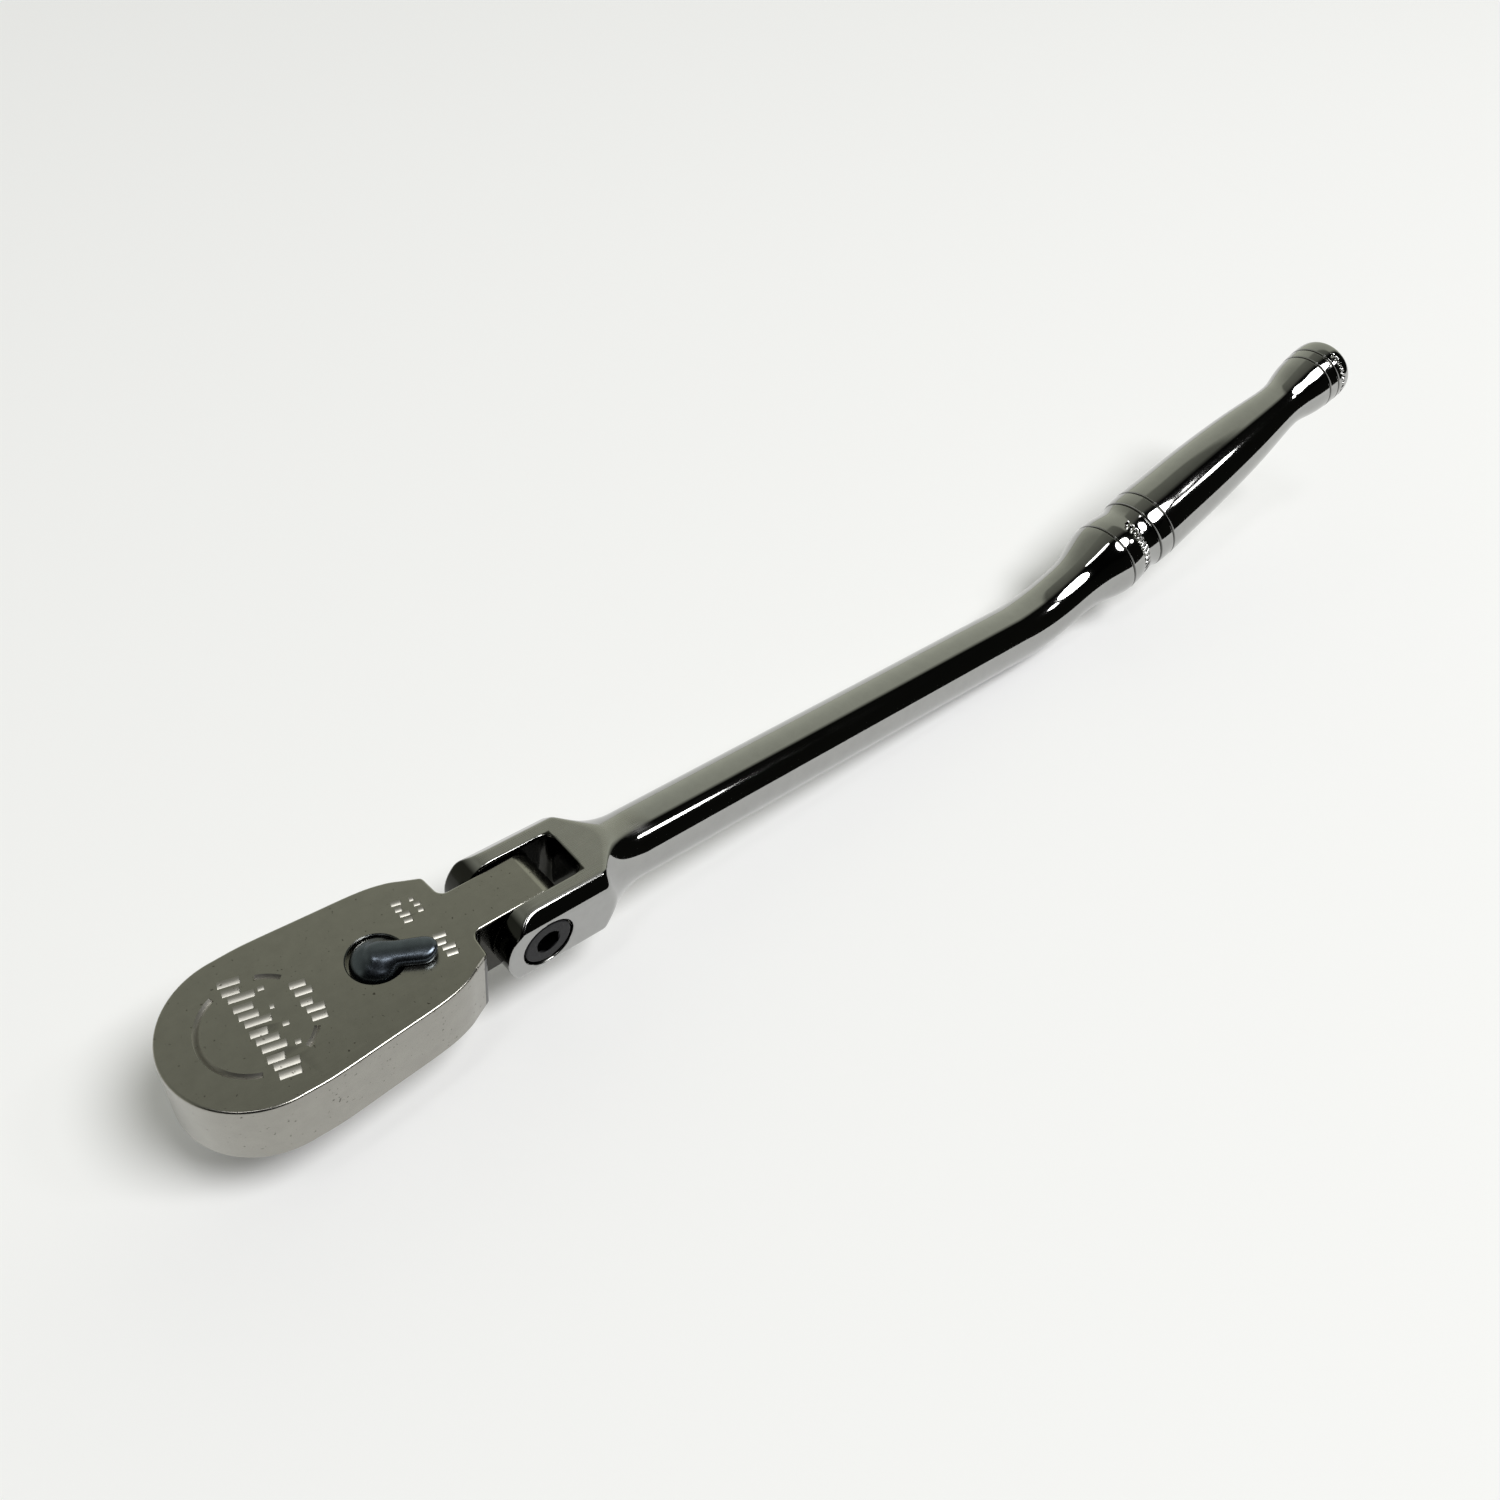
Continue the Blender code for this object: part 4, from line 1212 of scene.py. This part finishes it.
@dataclass
class Head(Maker):
    """The forged head with its tang, and the cover under it."""

    low: float = 11.5
    high: float = 24.0
    nose: float = 13.5
    tang_half: float = 4.5
    tang_end: float = 6.63
    edge: float = 0.42
    marks_slope: float = 0.80
    lever_rim: float = 4.8
    shoulder: float = 30.6

    def outline(self) -> list[Point2]:
        """The head's plan."""
        flank = flowing_line(
            [
                (0.0, 13.5), (3.4, 13.62), (6.8, 13.49), (10.8, 13.22), (15.0, 12.94), (18.9, 12.69),
                (21.6, 12.47), (24.3, 12.07), (27.0, 11.31), (29.0, 10.35), (31.34, 9.22),
            ]
        )
        shoulder = arc((30.6, 8.4), 1.1, 44, 4, 6)
        notch = arc((33.4, 6.0), 1.5, 180, 270, 8)
        end = PIVOT.x + self.tang_end
        corner = arc((end - 1.6, self.tang_half - 1.6), 1.6, 90, 0, 6)
        half = [*flank[:-1], *shoulder, *notch, *corner]
        nose = arc((0, 0), self.nose, 90, 270, 64)[1:-1]
        return [*reversed(half), *nose, *((x, -y) for x, y in half)]

    def bores(self) -> list[Mesh]:
        """What is turned and milled out of the forging."""
        # From the upper journal's roof down past the cover's seat, the ring's groove and the chamfered mouth
        gear = [
            (0, 22.4), (6.3, 22.4), (6.3, 20.7), (10.2, 20.7), (10.2, 14.4), (10.6, 14.4), (10.6, 12.9),
            (11.1, 12.9), (11.1, 12.0), (10.6, 12.0), (10.6, 11.75), (11.0, 11.3), (11.0, 10.5), (0, 10.5),
        ]
        # From the hub's recess down past the stem's hole to the room where the stem pushes the pawl
        lever = [
            (0, 25.0), (4.75, 25.0), (4.75, 24.2), (4.4, 23.8), (4.35, 22.4), (2.9, 22.4), (2.9, 20.15),
            (3.9, 20.15), (3.9, 14.5), (0, 14.5),
        ]
        corners = [*arc((13.4, -6.7), 2.5, -90, 0, 8), *arc((13.4, 6.7), 2.5, 0, 90, 8)]
        pocket = [(5.0, -9.2), *corners, (5.0, 9.2)]
        tip = [*arc((0, 0), self.tang_end, -90, 90, 40), (0, 12), (12, 12), (12, -12), (0, -12)]
        at_pivot = Matrix.Translation(PIVOT)
        return [
            placed(prism("tang_tip", tip, -8, 8), SIDE_ON, at_pivot),
            lathe("gear_bore", gear, 96),
            prism("pawl_pocket", pocket, 14.7, 20.0),
            placed(lathe("lever_bore", lever, 96), Matrix.Translation(LEVER_PLACE)),
            placed(drill("pin_bore", 1.25, 13.5, 21.5, 32), Matrix.Translation(PAWL_PLACE)),
            placed(drill("tang_hole", 3.05, -6, 6, 64), SIDE_ON, at_pivot),
            *(
                placed(
                    drill("washer_recess", 4.6, 3.7, 6, 64),
                    Matrix.Rotation(math.radians(90 * side), 4, "X"), at_pivot,
                )
                for side in (1, -1)
            ),
        ]

    def marks(self) -> list[Mesh]:
        """Plain arcs and rows of strokes that are stamped into the head's top."""
        top = Matrix.Translation((0, 0, self.high + 0.02))
        made = []
        for index, (start, sweep) in enumerate(((112, 136), (40, 26), (-62, 24))):
            stroke = self.stamps.cut(
                Stamp.ARC, f"ring_{index}", Radius=8.05, Start=math.radians(start), Sweep=math.radians(sweep),
                Half_width=0.46, Depth=0.44,
            )
            made.append(placed(stroke, top))
        # Name, place, count, pitch, gap between groups, length, slant and half width
        rows = (
            ("band", (0.0, -9.3), 12, 1.58, 0.20, 3.7, -0.25, 0.66),
            ("band_spots", (3.1, -5.6), 4, 3.6, 0.0, 1.0, -0.25, 0.44),
            ("drive_group", (7.4, -3.7), 5, 1.55, 0.3, 2.7, -0.25, 0.64),
            ("far_group", (25.8, 3.3), 4, 1.25, 0.0, 1.7, -0.25, 0.50),
            ("far_spots", (28.3, 3.9), 3, 1.25, 0.0, 1.1, -0.25, 0.44),
            ("near_group", (27.8, -5.6), 4, 1.25, 0.0, 2.2, -0.25, 0.52),
        )
        for name, place, count, pitch, gap, length, slant, half_width in rows:
            row = self.stamps.cut(
                Stamp.ROW, name, Count=count, Pitch=pitch, Gap=gap, Length=length, Slant=slant,
                Half_width=half_width, Depth=half_width * self.marks_slope,
            )
            made.append(placed(row, Matrix.Translation((*place, 0)), top))
        return made

    def build(self) -> None:
        """Make the head, the cover and its ring, and dress what is behind them."""
        blank = prism("head", self.outline(), self.low, self.high, self.edge)
        mesh = shaded(machined(blank, [*self.bores(), *self.marks()]))
        self.note_stamps_and_painted_shade(mesh)
        self.set_out(mesh, "head", "head", "satin_chrome", "head_body")
        self.build_cover()
        self.shelf.dress_nodes("ground_steel", "pawl_pin")
        self.shelf.dress_nodes("spring_steel", "gear_thrust_washer")

    def note_stamps_and_painted_shade(self, mesh: Mesh) -> None:
        """Note which faces are stamped, and which faces in the joint take painted shade.

        Args:
            mesh: The finished head, in the wrench's frame.
        """
        stamped, shade = [], []
        for face in mesh.polygons:
            x, y, z = face.center
            from_lever = math.hypot(x - LEVER_PLACE.x, y)
            inside = math.hypot(x, y) < self.nose - 0.8 or (0 < x < 31 and abs(y) < 10.0)
            below_top = self.high - 0.5 < z < self.high - 0.01
            stamped.append(inside and from_lever > self.lever_rim and below_top)
            # The tang's sides and the notch's walls take painted shade: their colour is darkened
            shade.append(x > self.shoulder and abs(face.normal.z) < 0.6)
        noted(mesh, "stamped", "FACE", stamped)
        noted(mesh, "shade", "FACE", shade)

    def build_cover(self) -> None:
        """The turned cover and the ring that holds it."""
        profile = [(7.5, 14.1), (10.3, 14.1), (10.3, 13.3), (10.1, 13.1), (8.5, 13.1), (8.5, 12.05),
                   (8.25, 11.8), (7.75, 11.8), (7.5, 12.05)]
        cover = shaded(lathe("cover", profile, 120, ring=True))
        self.set_out(cover, "cover", "head", "ground_steel", "gear_cover")
        outer, inner, lug = 10.8, 9.7, 8.8
        outline = [
            *arc((0, 0), outer, 10, 350, 90), *arc((0, 0), lug, 350, 336, 5),
            *arc((0, 0), inner, 336, 24, 78), *arc((0, 0), lug, 24, 10, 5),
        ]
        ring = prism("ring", outline, 12.15, 12.75, 0.08)
        holes = [
            placed(
                drill("ring_hole", 0.45, 11.5, 13.5, 24),
                Matrix.Translation((9.8 * math.cos(angle), 9.8 * math.sin(angle), 0)),
            )
            for angle in (math.radians(17), math.radians(-17))
        ]
        mesh = shaded(machined(ring, holes))
        self.set_out(mesh, "cover_ring", "head", "spring_steel", "cover_snap_ring")


@dataclass
class Drive(Maker):
    """The ratchet gear with its journals and square, and the detent ball."""

    square: float = 9.53
    corner: float = 0.7
    teeth: int = 72
    tip: float = 9.6
    root: float = 9.05
    sink: float = 0.02
    ball: float = 1.6
    proud: float = 0.65
    detent_height: float = 5.0

    def build(self) -> None:
        """Make the gear, the square and the ball."""
        core = [(0, 22.1), (5.7, 22.1), (6.0, 21.8), (6.0, 19.7), (self.root, 19.7), (self.root, 14.9),
                (7.2, 14.9), (7.2, 14.5), (5.65, 14.5), (5.65, 12.7), (7.2, 12.7), (7.2, 11.75), (6.95, 11.5),
                (6.5, 11.5), (6.5, 11.15), (6.35, 11.0), (0, 11.0)]
        half = self.square / 2 - self.corner
        outline = []
        for quarter, (x, y) in enumerate(((half, half), (-half, half), (-half, -half), (half, -half))):
            outline += arc((x, y), self.corner, 90 * quarter, 90 * quarter + 90, 6)
        pitch = math.tau / self.teeth
        wide = self.tip * math.sin(pitch / 2) * 1.02
        # Upright blocks that stand corner outwards make the teeth
        teeth = self.stamps.cut(
            Stamp.RING, "teeth", Count=self.teeth, Radius=self.root - self.sink, Start=0.0, Step=pitch,
            Deep=wide, Wide=wide, Tall=4.8, Twist=0.0, Turn=math.radians(45),
        )
        block = prism("square", outline, 0.0, 11.6, 0.7)
        mesh = machined(lathe("drive", core, 120), [block], "UNION")
        mesh = machined(mesh, [placed(teeth, Matrix.Translation((0, 0, 17.3)))], "UNION")
        to_front = Matrix.Rotation(math.radians(-90), 4, "Y")
        front = Matrix.Translation((-self.square / 2, 0, self.detent_height))
        mouth = lathe("mouth", [(0, -2), (1.55, -2), (1.55, -0.12), (1.67, 0.05), (1.67, 1), (0, 1)], 48)
        bore = drill("bore", 1.9, -7.3, -0.2, 48)
        mesh = machined(mesh, [placed(mouth, to_front, front), placed(bore, to_front, front)])
        self.set_out(shaded(mesh), "drive", "drive", "ground_steel", "drive_gear")
        profile = arc((0, 0), self.ball, 90, -90, 24)
        profile[0] = (0.0, self.ball)
        profile[-1] = (0.0, -self.ball)
        centre = -self.square / 2 - self.proud + self.ball
        ball = shaded(lathe("ball", profile, 48))
        place = Matrix.Translation((centre, 0, self.detent_height))
        self.set_out(placed(ball, place), "ball", "detent", "ground_steel", "detent_ball")
        self.shelf.dress_nodes("seal_rubber", "drive_o_ring")
        self.shelf.dress_nodes("spring_steel", "detent_spring")


@dataclass
class Lever(Maker):
    """The reversing lever: a domed hub that runs into a raised finger, on its stem."""

    hub: float = 4.05
    dome_top: float = 25.8
    dome: float = 5.0
    stem: float = 2.6
    reach: float = 8.9
    half_width: float = 2.3
    finger_low: float = 24.3
    finger_top: float = 26.2
    net: float = 0.14

    def shape(self, points: np.ndarray) -> np.ndarray:
        """The lever's field in its own frame, with the finger along +X.

        Args:
            points: Where the field is wanted.

        Returns:
            Its values, negative inside the lever.
        """
        x, y, z = points[..., 0], points[..., 1], points[..., 2]
        out = np.hypot(x, y)
        cap = np.sqrt(out**2 + (z - self.dome_top + self.dome) ** 2) - self.dome
        hub = soft_max(soft_max(out - self.hub, cap, 0.9), 22.7 - z, 0.15)
        tip = self.reach - self.half_width
        along = np.clip(x, 1.0, tip)
        side = np.hypot(x - along, y) - self.half_width * (0.9 + 0.1 * np.clip(x / tip, 0.0, 1.0))
        crown = z - (self.finger_top - y**2 / 7.0 - 0.25 * np.clip(1.0 - x / tip, 0.0, 1.0))
        finger = soft_max(soft_max(side, crown, 0.9), self.finger_low - z, 0.4)
        top = soft_min(hub, finger, 0.9)
        stem = np.maximum(out - self.stem, np.maximum(15.2 - z, z - 23.5))
        ring = np.maximum(1.55 - out, np.abs(z - 21.25) - 0.65)
        clip = np.maximum(1.9 - out, np.abs(z - 19.5) - 0.4)
        bore = np.maximum(np.hypot(y, z - 17.1) - 1.35, np.maximum(x - 1.6, -3.5 - x))
        stem = np.maximum(np.maximum(np.maximum(stem, -ring), -clip), -bore)
        return np.minimum(top, stem)

    def build(self) -> None:
        """Make the lever and dress what its stem carries."""
        points, faces = skin(self.shape, (-4.6, -4.6, 14.9), (9.4, 4.6, 26.6), self.net)
        mesh = bpy.data.meshes.new("lever")
        mesh.from_pydata(points.tolist(), [], faces)
        normals = field_shaded(mesh, self.shape, lambda spots: spots[:, 2] > 22.75)
        mesh.set_sharp_from_angle(angle=math.radians(50))
        place = Matrix.Translation(LEVER_PLACE) @ Matrix.Rotation(LEVER_TURN, 4, "Z")
        placed(mesh, place)
        turned = normals @ np.array(place.to_3x3()).T
        self.set_out(mesh, "lever", "lever", "dark_lever", "reversing_lever", turned)
        self.shelf.dress_nodes("seal_rubber", "lever_o_ring")
        self.shelf.dress_nodes("spring_steel", "lever_snap_ring", "plunger_spring")
        self.shelf.dress_nodes("ground_steel", "pawl_plunger", "pawl")


# Studio


@dataclass
class Studio:
    """The floor, the light and the camera."""

    floor_tilt: float = math.radians(2.3)
    floor_line: float = 0.0043
    floor_tone: float = 0.80
    lens: float = 30.51
    camera_place: tuple[float, float, float] = (-0.02825, -0.10439, 0.18371)
    camera_turn: tuple[float, float, float] = (44.531, -7.114, -42.032)

    def build(self) -> None:
        """Set the stage."""
        self.lay_floor()
        self.hang_lights()
        self.light_room()
        self.set_camera()
        bpy.context.scene.view_settings.view_transform = "Standard"

    def lay_floor(self) -> None:
        """A large pale floor that the wrench rests on."""
        half = 6.0
        corners = [(-half, -half, 0), (half, -half, 0), (half, half, 0), (-half, half, 0)]
        mesh = bpy.data.meshes.new("floor")
        mesh.from_pydata(corners, [], [(0, 1, 2, 3)])
        place = Matrix.Translation((self.floor_line, 0, -0.0002)) @ Matrix.Rotation(-self.floor_tilt, 4, "Y")
        mesh.transform(place)
        floor = linked("floor", mesh)
        paint = Paint("pale_floor")
        cloud = paint.noise(3.0, 3.0, 0.5)
        tone = paint.blend(cloud, (self.floor_tone,) * 3, (self.floor_tone * 0.985,) * 3)
        paint.tree.links.new(tone, paint.shader.inputs["Base Color"])
        paint.shader.inputs["Roughness"].default_value = 0.9
        paint.shader.inputs["Specular IOR Level"].default_value = 0.1
        paint.shader.inputs["Emission Color"].default_value = (1, 1, 1, 1)
        paint.shader.inputs["Emission Strength"].default_value = 0.12
        mesh.materials.append(paint.done())

    def hang_lights(self) -> None:
        """A soft box on the near side, a faint window by the head, and a bulb for the streak on the neck."""
        # Name, place, width and height, power in watts, and what it points at
        for name, place, size, power, aim in (
            ("soft_box", (0.69, -1.22, 2.68), (1.40, 1.40), 76.0, (0.10, 0.0, 0.02)),
            ("window", (-0.77, -0.11, 2.82), (0.32, 1.15), 5.0, (0.10, 0.0, 0.02)),
            ("bulb", (1.35, -1.17, 1.86), (0.30, 0.30), 2.8, (0.07, 0.0, 0.02)),
        ):
            data = bpy.data.lights.new(name, "AREA")
            data.shape = "ELLIPSE"
            data.size, data.size_y = size
            data.energy = power
            lamp = linked(name, data)
            lamp.location = place
            lamp.rotation_euler = (Vector(aim) - Vector(place)).to_track_quat("-Z", "Y").to_euler()

    def light_room(self) -> None:
        """A dim room: a grey wall beyond the tool, a dark ceiling, and darkness on the near side."""
        world = bpy.data.worlds.new("room")
        bpy.context.scene.world = world
        world.use_nodes = True
        room = Bench(world.node_tree)
        parts = room.tree.nodes.new("ShaderNodeSeparateXYZ")
        room.put(parts.inputs[0], room.tree.nodes.new("ShaderNodeTexCoord").outputs["Generated"])
        east, north, up = parts.outputs
        far = room.span(north, -0.09, 0.06, 0.011, 1.0)
        wall = room.times(far, room.span(up, 0.0, 0.85, 0.74, 0.50), room.span(east, -0.1, 0.55, 0.60, 1.0))
        ceiling = room.times(far, room.span(north, 0.0, 0.45, 0.14, 0.24))
        # The ceiling is a flat patch overhead, so its edges lie at shares of the height
        height = room.span(up, 0.3, 1.0, 0.3, 1.0)
        overhead = room.times(
            room.span(room.reckon("DIVIDE", east, height), 0.50, 0.58, 1.0, 0.0),
            room.span(room.reckon("DIVIDE", north, height), 0.54, 0.68, 1.0, 0.0),
            room.span(up, 0.55, 0.65, 0.0, 1.0),
        )
        background = room.tree.nodes["Background"]
        background.inputs["Color"].default_value = (0.97, 1.0, 0.84, 1.0)
        room.put(background.inputs["Strength"], room.mix(overhead, wall, ceiling))

    def set_camera(self) -> None:
        """The camera, where the wrench is seen from its head end and above."""
        data = bpy.data.cameras.new("camera")
        data.lens = self.lens
        data.sensor_width = 36.0
        data.clip_start = 0.005
        data.clip_end = 50.0
        camera = linked("camera", data)
        camera.location = self.camera_place
        camera.rotation_euler = [math.radians(angle) for angle in self.camera_turn]
        bpy.context.scene.camera = camera


def main() -> None:
    """Build the wrench, then the stage round it."""
    logging.basicConfig(level=logging.INFO, format="%(message)s")
    Studio().build()
    shelf = FinishShelf()
    shelf.stock()
    stamps = Stamps()
    for assembly in (Handle, Head, Drive, Lever):
        assembly(shelf, stamps).build()
        log.info("%s built", assembly.__name__)


if __name__ == "__main__":
    main()
